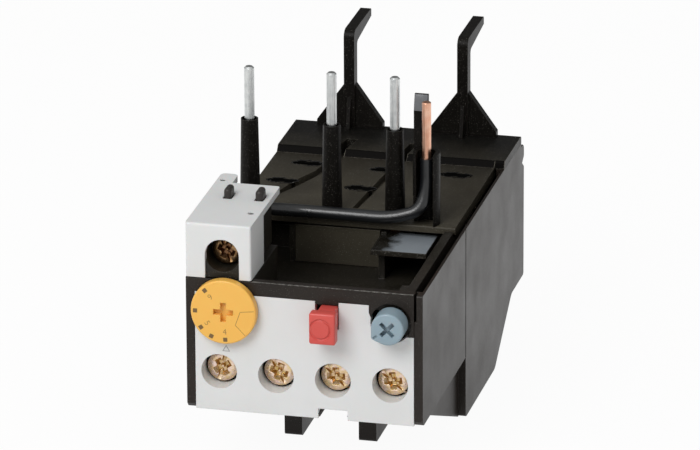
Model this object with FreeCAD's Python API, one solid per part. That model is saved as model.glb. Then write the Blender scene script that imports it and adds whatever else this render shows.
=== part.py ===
"""Thermal overload relay for plugging under a 45 mm wide contactor.

Units are millimetres. The model is drawn with X to the right, Y from the front plate's face
towards the wall and Z up from the front plate's lower edge. Each sub-part is exported with the
shift that puts the origin at the middle of the whole relay's footprint, on the surface it stands on.
"""

import FreeCAD, Part
import math
import os

# ---------------------------------------------------------------- driving dimensions

# housing
WIDTH = 45.0
SIDE_T = 1.6
BODY_DEPTH = 88.0
FOOT_LEVEL = -13.2
SKIRT_LEVEL = -0.95
REAR_LEVEL = -3.2
SIDE_TOP = 24.9
SHROUD_START = 36.2
REAR_SLOPE = 15.0
REAR_FLAT = 11.0
WALL = 1.6
PARTITION_T = 1.8
FOOT_T = 3.4
FOOT_START = 20.0
SKIRT_INSET = 1.5
SKIRT_START = 5.7
SIDE_GAP_DEPTH = 3.2
SEAM_W = 0.5
SEAM_DEPTH = 0.3
LIP_GROOVE = 1.6

# poles
POLE_MARGIN = 0.9
PIN_EDGE = 2.2
PIN_PITCH_LEFT = 16.0
PIN_PITCH_RIGHT = 12.25
PIN_Y = 40.0
PIN_R = 0.95
PIN_SHANK_R = 0.7
PIN_TOP = 52.9
SLEEVE_TOP = 42.5
SLEEVE_FOOT_R = 1.98
SLEEVE_TIP_R = 1.65
SLEEVE_CUP_R = 1.35
SLEEVE_CUP_DEPTH = 1.4

# deck
DECK_TOP = 25.25
DECK_T = 2.0
DECK_START = 35.5
LIP_T = 1.3
RAISED_TOP = 26.45
RAISED_LENGTH = 15.1
RAISED_BACK_STEP = 2.5
SLOT_W = 1.3
SLOT_L = 6.4
SLOT_BACK_GAP = 6.1
SLOT_ROWS = 10.5
GROOVE_DEPTH = 1.3

# recess between the front wall and the deck
PANEL_LEFT = -10.5
PANEL_RIGHT = 5.9
PANEL_Y = 36.0
HOLLOW_BACK = 45.0
FLOOR_TOP = 15.8
FLOOR_T = 1.2
FLOOR_START = 24.0
BROW_TOP = 22.0
BROW_END = 8.5
INNER_WALL_GAP = 0.6
INNER_WALL_T = 1.7
LEDGE_TOP = 22.6
LEDGE_LENGTH = 8.4
LEDGE_GAP = 1.8
LEDGE_T = 1.0

# front
PLATE_GAP = 0.1
PLATE_TOP = 22.3
PLATE_T = 1.5
FUNNEL_R = 3.4
FUNNEL_WALL = 0.7
FUNNEL_DEPTH = 2.2
NOTCH_LEFT = 2.6
NOTCH_RIGHT = 8.2
NOTCH_H = 1.0
BEZEL_TOP = 25.0
BEZEL_T = 1.8
BEZEL_END_H = 1.4
LUG_REACH = 4.15
LUG_SIDE_LOW = 19.9
LUG_LOW = 16.6
SLIT_LOW = 19.7
SLIT_W = 0.4

# auxiliary terminals
AUX_EDGE = 4.5
AUX_Z = 6.77
AUX_HEAD_R = 2.9
AUX_HEAD_START = 2.3
AUX_HEAD_END = 4.0
AUX_SHANK_R = 1.5
AUX_CLAMP_HALF = 3.7
AUX_CLAMP_LOW = 3.3
AUX_CLAMP_HIGH = 10.3
AUX_CLAMP_START = 9.2
AUX_CLAMP_END = 17.5
AUX_NUT_T = 1.8
AUX_BACK_T = 0.8
CARRIER_CEILING = 13.2
CARRIER_BACK = 18.0
CARRIER_T = 1.0

# main terminals
MAIN_Z = -7.2
MAIN_HEAD_R = 3.4
MAIN_HEAD_START = 28.5
MAIN_HEAD_END = 31.1
MAIN_SHANK_R = 2.0
MAIN_CLAMP_HALF = 4.4
MAIN_CLAMP_LOW = -11.4
MAIN_CLAMP_HIGH = -3.4
MAIN_CLAMP_START = 38.4
MAIN_CLAMP_END = 48.8
MAIN_NUT_T = 2.2
MAIN_BACK_T = 1.2
CHAMBER_BACK = 50.0
BAR_T = 1.2
BAR_W = 5.0
LINE_BAR_T = 1.0
LINE_BAR_W = 3.2
BAR_TOP = -1.7

# coil terminal under the white hood
HOOD_WIDTH = 12.5
HOOD_BASE = 25.15
HOOD_TOP = 35.8
HOOD_WALL = 1.2
HOOD_SIDE_DEPTH = 9.7
HOOD_ROOF_DEPTH = 22.5
HOOD_TAB_DEPTH = 27.2
HOOD_TAB_W = 3.3
ARCH_INSET = 6.95
ARCH_Z = 29.6
ARCH_R = 3.25
RIB_W = 2.0
RIB_L = 7.6
RIB_BACK_GAP = 0.9
RIB_INSETS = (3.4, 9.5)
COIL_HEAD_R = 2.8
COIL_HEAD_START = 3.4
COIL_HEAD_END = 5.1
COIL_SHANK_R = 1.5
COIL_CLAMP_HALF = 3.6
COIL_CLAMP_LENGTH = 7.6
COIL_CLAMP_BACK = 3.3

# controls
DIAL_EDGE = 5.9
DIAL_Z = 19.3
DIAL_R = 6.25
DIAL_FACE = -2.0
DIAL_T = 1.7
DIAL_HUB_R = 2.4
DIAL_SHAFT_R = 1.3
DIAL_SHAFT_END = 7.6
DIAL_TURN = 143.5
CAM_START = 2.4
CAM_END = 4.2
CAM_LOW_R = 2.0
CAM_RISE = 1.0
LEVER_PIVOT_REACH = 6.9
LEVER_PIVOT_Z = 17.0
BUTTON_X = 4.68
BUTTON_W = 5.16
BUTTON_LOW = 15.7
BUTTON_HIGH = 22.0
BUTTON_FACE = -5.0
BUTTON_T = 3.2
BUTTON_STROKE = 1.2
STEM_X = 4.35
STEM_W = 3.9
STEM_Z = 18.8
STEM_H = 3.0
KNOB_EDGE = 4.1
KNOB_Z = 19.35
KNOB_R = 3.1
KNOB_FACE = -4.2
KNOB_END = -0.3
KNOB_HOLE_SHIFT = 0.25
KNOB_HOLE_Z = 19.05
KNOB_HOLE_R = 3.85
KNOB_NOSE = 3.1
KNOB_NOSE_R = 0.5
KNOB_NOSE_ANGLE = 214.0
KNOB_STROKE = 2.0
COLLAR_R = 2.0
PLUNGER_R = 1.2
PLUNGER_END = 8.0

# trip mechanism
STRIP_T = 0.8
STRIP_W = 6.0
STRIP_TO_REAR = 12.0
STRIP_TOP = 17.8
STRIP_ROOT = -0.2
SLIDE_LOW = 18.3
SLIDE_HIGH = 20.3
POST_LOW = 15.1
POST_T = 1.2
LEVER_OFFSET = 0.1
LEVER_Y = 48.5
LEVER_SHAFT_R = 1.4
LEVER_ARM_LOW = 8.0
LEVER_ARM_HIGH = 10.0
LEVER_TIP_Y = 36.0
ROCKER_X = -2.0
ROCKER_Y = 27.5
ROCKER_HUB_R = 1.9
ROCKER_PIN_R = 1.0
BLADE_ROOT_X = -3.5
BLADE_Y = 24.3
BLADE_T = 0.4
BLADE_LOW = 3.8
BLADE_HIGH = 6.8
NC_CONTACT_REACH = 9.5
NO_CONTACT_REACH = 9.0
CONTACT_R = 1.1
CONTACT_T = 0.7
NC_FIXED_SHIFT = 3.4
NO_RIVETS = (-2.0, 3.6)
AUX_BAR_TOP = 11.8
AUX_BAR_T = 0.6
AUX_TAIL_W = 2.4

# mounting hooks
HOOK_X = 11.3
HOOK_W = 2.1
HOOK_T = 2.5
HOOK_TOP = 46.3
HOOK_LENGTH = 14.5
HOOK_ARM_T = 2.9
HOOK_TIP_T = 1.6
GUSSET_HALF = 6.6
GUSSET_APEX = 35.2
GUSSET_FOOT = 1.0
GUSSET_T = 1.7

# link wire and its guide
GUIDE_EDGE = 5.9
GUIDE_Y = 37.2
GUIDE_R = 2.6
GUIDE_BORE_R = 1.75
GUIDE_TOP = 39.5
BLADE_POST_W = 2.6
BLADE_POST_T = 1.5
BLADE_POST_TOP = 49.8
WIRE_R = 1.22
CORE_R = 0.87
WIRE_TOP = 38.2
CORE_TOP = 49.4
# clearances
FIT = 0.05
GAP = 0.3
SLIDING = 0.15

# ---------------------------------------------------------------- derived sizes

HALF = WIDTH / 2.0
INNER_HALF = HALF - SIDE_T
DECK_LOW = DECK_TOP - DECK_T

# along the depth, from the back to the front
REAR_START = BODY_DEPTH - REAR_FLAT
SHROUD_END = REAR_START - REAR_SLOPE
STRIP_Y = REAR_START - STRIP_TO_REAR
RAISED_END = BODY_DEPTH - RAISED_BACK_STEP
RAISED_START = RAISED_END - RAISED_LENGTH
HOOK_FRONT = RAISED_END - HOOK_T
HOOK_REACH = HOOK_FRONT + HOOK_LENGTH
LEDGE_START = PANEL_Y - LEDGE_LENGTH
RIB_MIDDLE_Y = HOOD_ROOF_DEPTH - RIB_BACK_GAP - RIB_L / 2.0
COIL_CLAMP_END = HOOD_ROOF_DEPTH - COIL_CLAMP_BACK
COIL_CLAMP_START = COIL_CLAMP_END - COIL_CLAMP_LENGTH

# across the width
POLE_PITCH = (WIDTH - 2.0 * POLE_MARGIN) / 3.0
POLES = (-POLE_PITCH, 0.0, POLE_PITCH)
PIN_LEFT_X = -HALF + PIN_EDGE
PINS = (PIN_LEFT_X, PIN_LEFT_X + PIN_PITCH_LEFT, PIN_LEFT_X + PIN_PITCH_LEFT + PIN_PITCH_RIGHT)
PLATE_HALF = INNER_HALF - PLATE_GAP
AUX_PITCH = 2.0 * (PLATE_HALF - AUX_EDGE) / 3.0
AUX_X = tuple(AUX_PITCH * step for step in (-1.5, -0.5, 0.5, 1.5))
INNER_WALL_RIGHT = INNER_HALF - INNER_WALL_GAP
INNER_WALL_LEFT = INNER_WALL_RIGHT - INNER_WALL_T
LEDGE_RIGHT = INNER_WALL_LEFT - LEDGE_GAP
DECK_RIGHT = INNER_WALL_RIGHT + GAP
HOOD_LEFT = -HALF
HOOD_RIGHT = HOOD_LEFT + HOOD_WIDTH
ARCH_X = HOOD_LEFT + ARCH_INSET
RIB_X = tuple(HOOD_LEFT + inset for inset in RIB_INSETS)
DIAL_X = -PLATE_HALF + DIAL_EDGE
LEVER_PIVOT_X = DIAL_X + LEVER_PIVOT_REACH
KNOB_X = PLATE_HALF - KNOB_EDGE
KNOB_HOLE_X = KNOB_X - KNOB_HOLE_SHIFT
LUG_LEFT = KNOB_HOLE_X - LUG_REACH
LEVER_X = POLES[2] + LEVER_OFFSET
NC_CONTACT_X = ROCKER_X + NC_CONTACT_REACH
NO_CONTACT_X = ROCKER_X - NO_CONTACT_REACH
NO_RIVET_X = tuple(NO_CONTACT_X + shift for shift in NO_RIVETS)
FIXED_CONTACTS = NO_RIVET_X + (NC_CONTACT_X, AUX_X[3] - NC_FIXED_SHIFT)
GUIDE_X = DECK_RIGHT - GUIDE_EDGE

# the dial's cam rises by this much per radian
CAM_SLOPE = CAM_RISE / math.radians(DIAL_TURN)

# chosen points of the link wire, from the coil terminal to its upright end
WIRE_ROUTE = (
    (ARCH_X - 1.65, 20.2, 30.2),
    (ARCH_X - 2.05, 29.0, 28.6),
    (-11.6, 34.4, 26.75),
    (-2.0, 34.75, 26.6),
    (8.2, 34.55, 26.62),
    (GUIDE_X - 0.7, 35.3, 28.3),
    (GUIDE_X + 0.05, GUIDE_Y - 0.3, 32.6),
    (GUIDE_X, GUIDE_Y, WIRE_TOP),
)

ORIGIN_SHIFT = FreeCAD.Vector(0.0, -(BUTTON_FACE + HOOK_REACH) / 2.0, -FOOT_LEVEL)

# ---------------------------------------------------------------- shape helpers


def vector(axis, a, b, along):
    """Point at `along` on the axis, with the two other coordinates a and b in X, Y, Z order."""
    if axis == "x":
        return FreeCAD.Vector(along, a, b)
    if axis == "y":
        return FreeCAD.Vector(a, along, b)
    return FreeCAD.Vector(a, b, along)


def direction(axis, length):
    """Vector of the given length along an axis."""
    return vector(axis, 0.0, 0.0, length)


def rounded_wire(axis, points, at):
    """Closed wire through (a, b) or (a, b, radius) points, with tangent arcs at rounded corners."""
    corners = []
    count = len(points)
    for index, point in enumerate(points):
        here = FreeCAD.Vector(point[0], point[1], 0)
        radius = point[2] if len(point) > 2 else 0.0
        if radius == 0.0:
            corners.append((here, None, here))
            continue
        before = FreeCAD.Vector(*points[index - 1][:2], 0) - here
        after = FreeCAD.Vector(*points[(index + 1) % count][:2], 0) - here
        half = before.getAngle(after) / 2.0
        before.normalize()
        after.normalize()
        reach = radius / math.tan(half)
        bisector = (before + after).normalize()
        middle = here + bisector * (radius / math.sin(half) - radius)
        corners.append((here + before * reach, middle, here + after * reach))
    placed = [
        tuple(None if p is None else vector(axis, p.x, p.y, at) for p in corner)
        for corner in corners
    ]
    edges = []
    for index, (start, middle, end) in enumerate(placed):
        if middle is not None:
            edges.append(Part.Arc(start, middle, end).toShape())
        next_start = placed[(index + 1) % count][0]
        if end.distanceToPoint(next_start) > 1e-6:
            edges.append(Part.makeLine(end, next_start))
    return Part.Wire(edges)


def prism(axis, points, low, high):
    """Outline in the plane across the axis, extruded from low to high along it."""
    face = Part.Face(rounded_wire(axis, points, low))
    return face.extrude(direction(axis, high - low))


def block(x, y, z):
    """Box between three (low, high) pairs."""
    corner = FreeCAD.Vector(x[0], y[0], z[0])
    return Part.makeBox(x[1] - x[0], y[1] - y[0], z[1] - z[0], corner)


def soft_block(axis, a, b, along, radius):
    """Box whose four edges along the axis are rounded."""
    outline = [
        (a[0], b[0], radius),
        (a[1], b[0], radius),
        (a[1], b[1], radius),
        (a[0], b[1], radius),
    ]
    return prism(axis, outline, along[0], along[1])


def rod(axis, centre, radius, low, high):
    """Cylinder along an axis."""
    base = vector(axis, centre[0], centre[1], low)
    return Part.makeCylinder(radius, high - low, base, direction(axis, 1.0))


def cone(axis, centre, low_radius, high_radius, low, high):
    """Truncated cone along an axis."""
    base = vector(axis, centre[0], centre[1], low)
    return Part.makeCone(low_radius, high_radius, high - low, base, direction(axis, 1.0))


def tube(axis, centre, outer, inner, low, high):
    """Round tube along an axis."""
    return rod(axis, centre, outer, low, high).cut(rod(axis, centre, inner, low - 1, high + 1))


def join(shapes):
    """One solid from touching shapes, with shared faces merged."""
    first = shapes[0]
    return first.fuse(list(shapes[1:])).removeSplitter()


def drill(shape, tools):
    """Shape with all tools cut away."""
    return shape.cut(list(tools))


# ---------------------------------------------------------------- housing


def side_outline(top):
    """Side view of the housing, seen along X."""
    groove = BODY_DEPTH - LIP_GROOVE
    return [
        (0.0, 0.0, 0.4),
        (0.9, SKIRT_LEVEL, 0.3),
        (SHROUD_START, SKIRT_LEVEL),
        (SHROUD_START, FOOT_LEVEL, 0.8),
        (SHROUD_END, FOOT_LEVEL, 3.0),
        (REAR_START, REAR_LEVEL, 3.0),
        (BODY_DEPTH, REAR_LEVEL, 0.6),
        (BODY_DEPTH, top - 5.6, 0.3),
        (groove, top - 4.4),
        (BODY_DEPTH, top - 3.4, 0.3),
        (BODY_DEPTH, top - 1.4, 1.2),
        (RAISED_END + 0.2, top, 0.5),
        (0.0, top, 0.4),
    ]


def cavity_outline():
    """Inside of the tub, seen along X; open at the front and the top."""
    inner_floor = SKIRT_LEVEL + WALL
    rise = (REAR_LEVEL - FOOT_LEVEL) / (REAR_START - SHROUD_END)
    back = BODY_DEPTH - LIP_GROOVE - WALL
    chamber = CHAMBER_BACK + WALL
    return [
        (-1.0, inner_floor),
        (chamber, inner_floor),
        (chamber, FOOT_LEVEL + WALL, 0.5),
        (SHROUD_END - WALL * rise, FOOT_LEVEL + WALL, 2.0),
        (REAR_START - WALL * rise, REAR_LEVEL + WALL, 2.0),
        (back, REAR_LEVEL + WALL, 0.5),
        (back, HOOD_TOP),
        (-1.0, HOOD_TOP),
    ]


def shroud_walls():
    """Inset skirts below the side panels and the two feet between the main terminals."""
    pieces = []
    inset_out = HALF - SKIRT_INSET
    inset_in = inset_out - WALL
    sloped = [
        (SKIRT_START, SKIRT_LEVEL + 0.1),
        (SHROUD_START, FOOT_LEVEL),
        (SHROUD_START + WALL, FOOT_LEVEL),
        (SHROUD_START + WALL, SKIRT_LEVEL + 0.1),
    ]
    for low, high in ((inset_in, inset_out), (-inset_out, -inset_in)):
        pieces.append(prism("x", sloped, low, high))
    foot = [
        (FOOT_START, SKIRT_LEVEL + 0.1),
        (FOOT_START, FOOT_LEVEL, 0.8),
        (CHAMBER_BACK + WALL, FOOT_LEVEL),
        (CHAMBER_BACK + WALL, SKIRT_LEVEL + 0.1),
    ]
    for sign in (-1, 1):
        centre = sign * POLE_PITCH / 2.0
        pieces.append(prism("x", foot, centre - FOOT_T / 2.0, centre + FOOT_T / 2.0))
    return pieces


def rear_partitions():
    """Walls between the bimetal chambers, notched for the trip slide."""
    slide_half = STRIP_W / 2.0 + GAP
    low = SLIDE_LOW - GAP
    top = SLIDE_HIGH + GAP
    back = BODY_DEPTH - LIP_GROOVE - WALL + 0.1
    outline = [
        (CHAMBER_BACK + 0.5, FOOT_LEVEL + 0.5),
        (SHROUD_END, FOOT_LEVEL + 0.5),
        (REAR_START, REAR_LEVEL + 0.5),
        (back, REAR_LEVEL + 0.5),
        (back, top),
        (STRIP_Y + slide_half, top),
        (STRIP_Y + slide_half, low),
        (STRIP_Y - slide_half, low),
        (STRIP_Y - slide_half, top),
        (CHAMBER_BACK + 0.5, top),
    ]
    pieces = []
    for sign in (-1, 1):
        centre = sign * POLE_PITCH / 2.0
        pieces.append(prism("x", outline, centre - PARTITION_T / 2.0, centre + PARTITION_T / 2.0))
    return pieces


def chamber_cuts():
    """Main terminal chambers, open below and in front."""
    slab = SKIRT_LEVEL
    spans = []
    inner = POLE_PITCH / 2.0 + FOOT_T / 2.0
    outer = HALF - SKIRT_INSET - WALL
    centre_half = POLE_PITCH / 2.0 - FOOT_T / 2.0
    spans.append((-outer, -inner))
    spans.append((-centre_half, centre_half))
    spans.append((inner, outer))
    cuts = []
    for low, high in spans:
        cuts.append(block((low, high), (SHROUD_START - 1.0, CHAMBER_BACK), (FOOT_LEVEL - 1.0, slab)))
    for pole in POLES:
        half = BAR_W / 2.0 + SLIDING
        height = (BAR_TOP - BAR_T - SLIDING, BAR_TOP + SLIDING)
        cuts.append(
            block((pole - half, pole + half), (CHAMBER_BACK - 1.0, CHAMBER_BACK + WALL + 1.0), height)
        )
    return cuts


def wire_entries():
    """Openings in the floor under the auxiliary clamps."""
    low = AUX_CLAMP_START + AUX_NUT_T + 1.3
    high = AUX_CLAMP_END - AUX_BACK_T
    return [
        block((x - 2.6, x + 2.6), (low, high), (SKIRT_LEVEL - 1.0, SKIRT_LEVEL + WALL + 1.0))
        for x in AUX_X
    ]


def base_housing():
    """Moulded tub: side panels, floor, back wall, skirts, feet and partitions."""
    shell = prism("x", side_outline(SIDE_TOP), -HALF, HALF)
    shell = shell.cut(prism("x", cavity_outline(), -INNER_HALF, INNER_HALF))
    shell = join([shell] + shroud_walls() + rear_partitions())
    cuts = chamber_cuts() + wire_entries()
    # rabbet that leaves a dark gap inside the right panel's upper edge
    gap_out = INNER_HALF + SIDE_T - 0.5
    cuts.append(
        block(
            (INNER_HALF - 0.5, gap_out),
            (BEZEL_T + 0.5, RAISED_START - 0.6),
            (SIDE_TOP - SIDE_GAP_DEPTH, HOOD_TOP),
        )
    )
    # seat of the front plate on the floor's front edge
    cuts.append(
        block((-INNER_HALF, INNER_HALF), (-1.0, PLATE_T + SLIDING), (-FIT, SKIRT_LEVEL + WALL + 1.0))
    )
    # seat of the bezel's left end
    cuts.append(
        prism(
            "y",
            [
                (-HALF - 1.0, HOOD_TOP),
                (-HALF - 1.0, BEZEL_TOP - BEZEL_END_H - FIT),
                (-HALF, BEZEL_TOP - BEZEL_END_H - FIT),
                (-INNER_HALF + 0.1, PLATE_TOP),
                (-INNER_HALF + 0.1, HOOD_TOP),
            ],
            -1.0,
            BEZEL_T + FIT,
        )
    )
    # slit between the bezel's lug and the right panel
    cuts.append(
        block((INNER_HALF - 0.5, INNER_HALF + SLIT_W), (-1.0, BEZEL_T + 0.3), (SLIT_LOW, HOOD_TOP))
    )
    # the deck lies on the left panel
    cuts.append(
        block((-HALF - 1.0, -INNER_HALF + 1.0), (DECK_START - SLIDING, RAISED_END), (DECK_LOW, HOOD_TOP))
    )
    # pocket for the left pole pin
    cuts.append(rod("z", (PINS[0], PIN_Y), PIN_R + GAP, SLIDE_LOW, HOOD_TOP))
    # vertical seam on both panels
    for low, high in ((HALF - SEAM_DEPTH, HALF + 1.0), (-HALF - 1.0, -HALF + SEAM_DEPTH)):
        cuts.append(
            block(
                (low, high),
                (SHROUD_START - SEAM_W / 2.0, SHROUD_START + SEAM_W / 2.0),
                (SKIRT_LEVEL, HOOD_TOP),
            ),
        )
    # back rim under the raised deck
    cuts.append(
        block((-HALF - 1.0, HALF + 1.0), (RAISED_END, BODY_DEPTH + 1.0), (SIDE_TOP - 0.8, HOOD_TOP))
    )
    shell = drill(shell, cuts)
    pegs = pivot_bosses()
    return join([shell] + pegs)


def pivot_bosses():
    """Pivot pins for the rocker and the trip lever, standing on the floor."""
    floor = SKIRT_LEVEL + WALL - 0.1
    pieces = [
        rod("z", (ROCKER_X, ROCKER_Y), ROCKER_PIN_R, floor, 12.0),
        rod("z", (ROCKER_X, ROCKER_Y), ROCKER_HUB_R, floor, BLADE_LOW - 1.1),
        rod("z", (LEVER_X, LEVER_Y), LEVER_SHAFT_R - 0.6, floor, SLIDE_HIGH + 0.6),
        rod("z", (LEVER_X, LEVER_Y), LEVER_SHAFT_R, floor, LEVER_ARM_LOW - GAP),
    ]
    return pieces


# ---------------------------------------------------------------- deck


def deck_slots():
    """Cross slots in the deck over the three chambers."""
    rear = RAISED_START - SLOT_BACK_GAP
    fore = rear - SLOT_ROWS
    left = -HALF
    places = [
        (left + 5.05, fore),
        (left + 7.5, rear),
        (left + 20.65, fore - 1.0),
        (left + 23.1, rear - 0.5),
        (left + 36.8, rear - 0.3),
    ]
    return [
        soft_block(
            "z",
            (x - SLOT_L / 2.0, x + SLOT_L / 2.0),
            (y - SLOT_W / 2.0, y + SLOT_W / 2.0),
            (DECK_LOW - 1.0, DECK_TOP + 1.0),
            SLOT_W / 2.2,
        )
        for x, y in places
    ]


def deck_grooves():
    """Two slanting grooves that part the deck into pole fields."""
    depth = DECK_TOP - GROOVE_DEPTH
    end = RAISED_START + 6.0
    edge = -HALF
    left = [
        (edge + 4.5, 42.6),
        (edge + 9.3, 53.0),
        (edge + 11.9, 60.6),
        (edge + 14.5, end),
        (edge + 12.3, end),
        (edge + 9.9, 60.6),
        (edge + 7.1, 53.8),
    ]
    right = [
        (edge + 21.6, 42.0),
        (edge + 22.8, 42.0),
        (edge + 24.6, 59.4),
        (edge + 26.5, end),
        (edge + 24.9, end),
        (edge + 23.1, 59.4),
    ]
    return [prism("z", line, depth, RAISED_TOP + 1.0) for line in (left, right)]


def top_cover():
    """Deck with its raised rear, the front lip and the middle panel of the recess."""
    deck = prism(
        "x",
        [
            (DECK_START, DECK_TOP - LIP_T),
            (DECK_START, DECK_TOP, 0.4),
            (RAISED_START - 1.0, DECK_TOP),
            (RAISED_START, RAISED_TOP, 0.5),
            (RAISED_END, RAISED_TOP, 0.6),
            (RAISED_END, DECK_LOW),
            (DECK_START + 1.6, DECK_LOW),
        ],
        -HALF,
        DECK_RIGHT,
    )
    wing = prism(
        "x",
        [
            (RAISED_START - 0.4, SIDE_TOP + 0.05),
            (RAISED_START, RAISED_TOP, 0.5),
            (RAISED_END, RAISED_TOP, 0.6),
            (RAISED_END, SIDE_TOP + 0.05),
        ],
        DECK_RIGHT - 0.1,
        HALF,
    )
    panel = block(
        (PANEL_LEFT, PANEL_RIGHT), (PANEL_Y, PANEL_Y + WALL), (FLOOR_TOP + SLIDING, DECK_LOW + 0.1)
    )
    cover = join([deck, wing, panel])
    cuts = deck_slots() + deck_grooves()
    for x in PINS:
        cuts.append(rod("z", (x, PIN_Y), PIN_SHANK_R + FIT, DECK_LOW - 1.0, DECK_TOP + 1.0))
        cuts.append(rod("z", (x, PIN_Y), SLEEVE_FOOT_R + FIT / 2.0, DECK_TOP - 1.0, DECK_TOP + 1.0))
    # clearance for the housing's back wall and the side panel under the deck
    back = BODY_DEPTH - LIP_GROOVE - WALL - SLIDING
    cuts.append(
        block((-INNER_HALF - 2.0, HALF + 1.0), (back, BODY_DEPTH), (DECK_LOW - 1.0, SIDE_TOP + 0.05))
    )
    return drill(cover, cuts)


def mounting_hooks():
    """Two hooks that latch into the contactor, each a post with an arm, a gusset and a front rib."""
    hooks = []
    back = HOOK_FRONT + HOOK_T
    base = RAISED_TOP
    profile = [
        (HOOK_FRONT, base),
        (back, base),
        (back, HOOK_TOP - HOOK_ARM_T, 0.9),
        (HOOK_REACH, HOOK_TOP - HOOK_TIP_T),
        (HOOK_REACH, HOOK_TOP, 0.4),
        (HOOK_FRONT, HOOK_TOP, 1.6),
    ]
    gusset = [
        (-GUSSET_HALF, base),
        (GUSSET_HALF, base),
        (GUSSET_HALF, base + GUSSET_FOOT),
        (HOOK_W / 2.0, GUSSET_APEX),
        (-HOOK_W / 2.0, GUSSET_APEX),
        (-GUSSET_HALF, base + GUSSET_FOOT),
    ]
    rib = [
        (HOOK_FRONT - 1.6, base),
        (HOOK_FRONT + 0.1, base),
        (HOOK_FRONT + 0.1, base + 6.6),
    ]
    gusset_start = HOOK_FRONT + 0.5
    for sign in (-1, 1):
        centre = sign * HOOK_X
        post = prism("x", profile, centre - HOOK_W / 2.0, centre + HOOK_W / 2.0)
        fin = prism("x", rib, centre - 0.35, centre + 0.35)
        web = prism("y", [(centre + a, b) for a, b in gusset], gusset_start, gusset_start + GUSSET_T)
        hooks.append(join([post, web, fin]))
    return Part.makeCompound(hooks)


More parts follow.
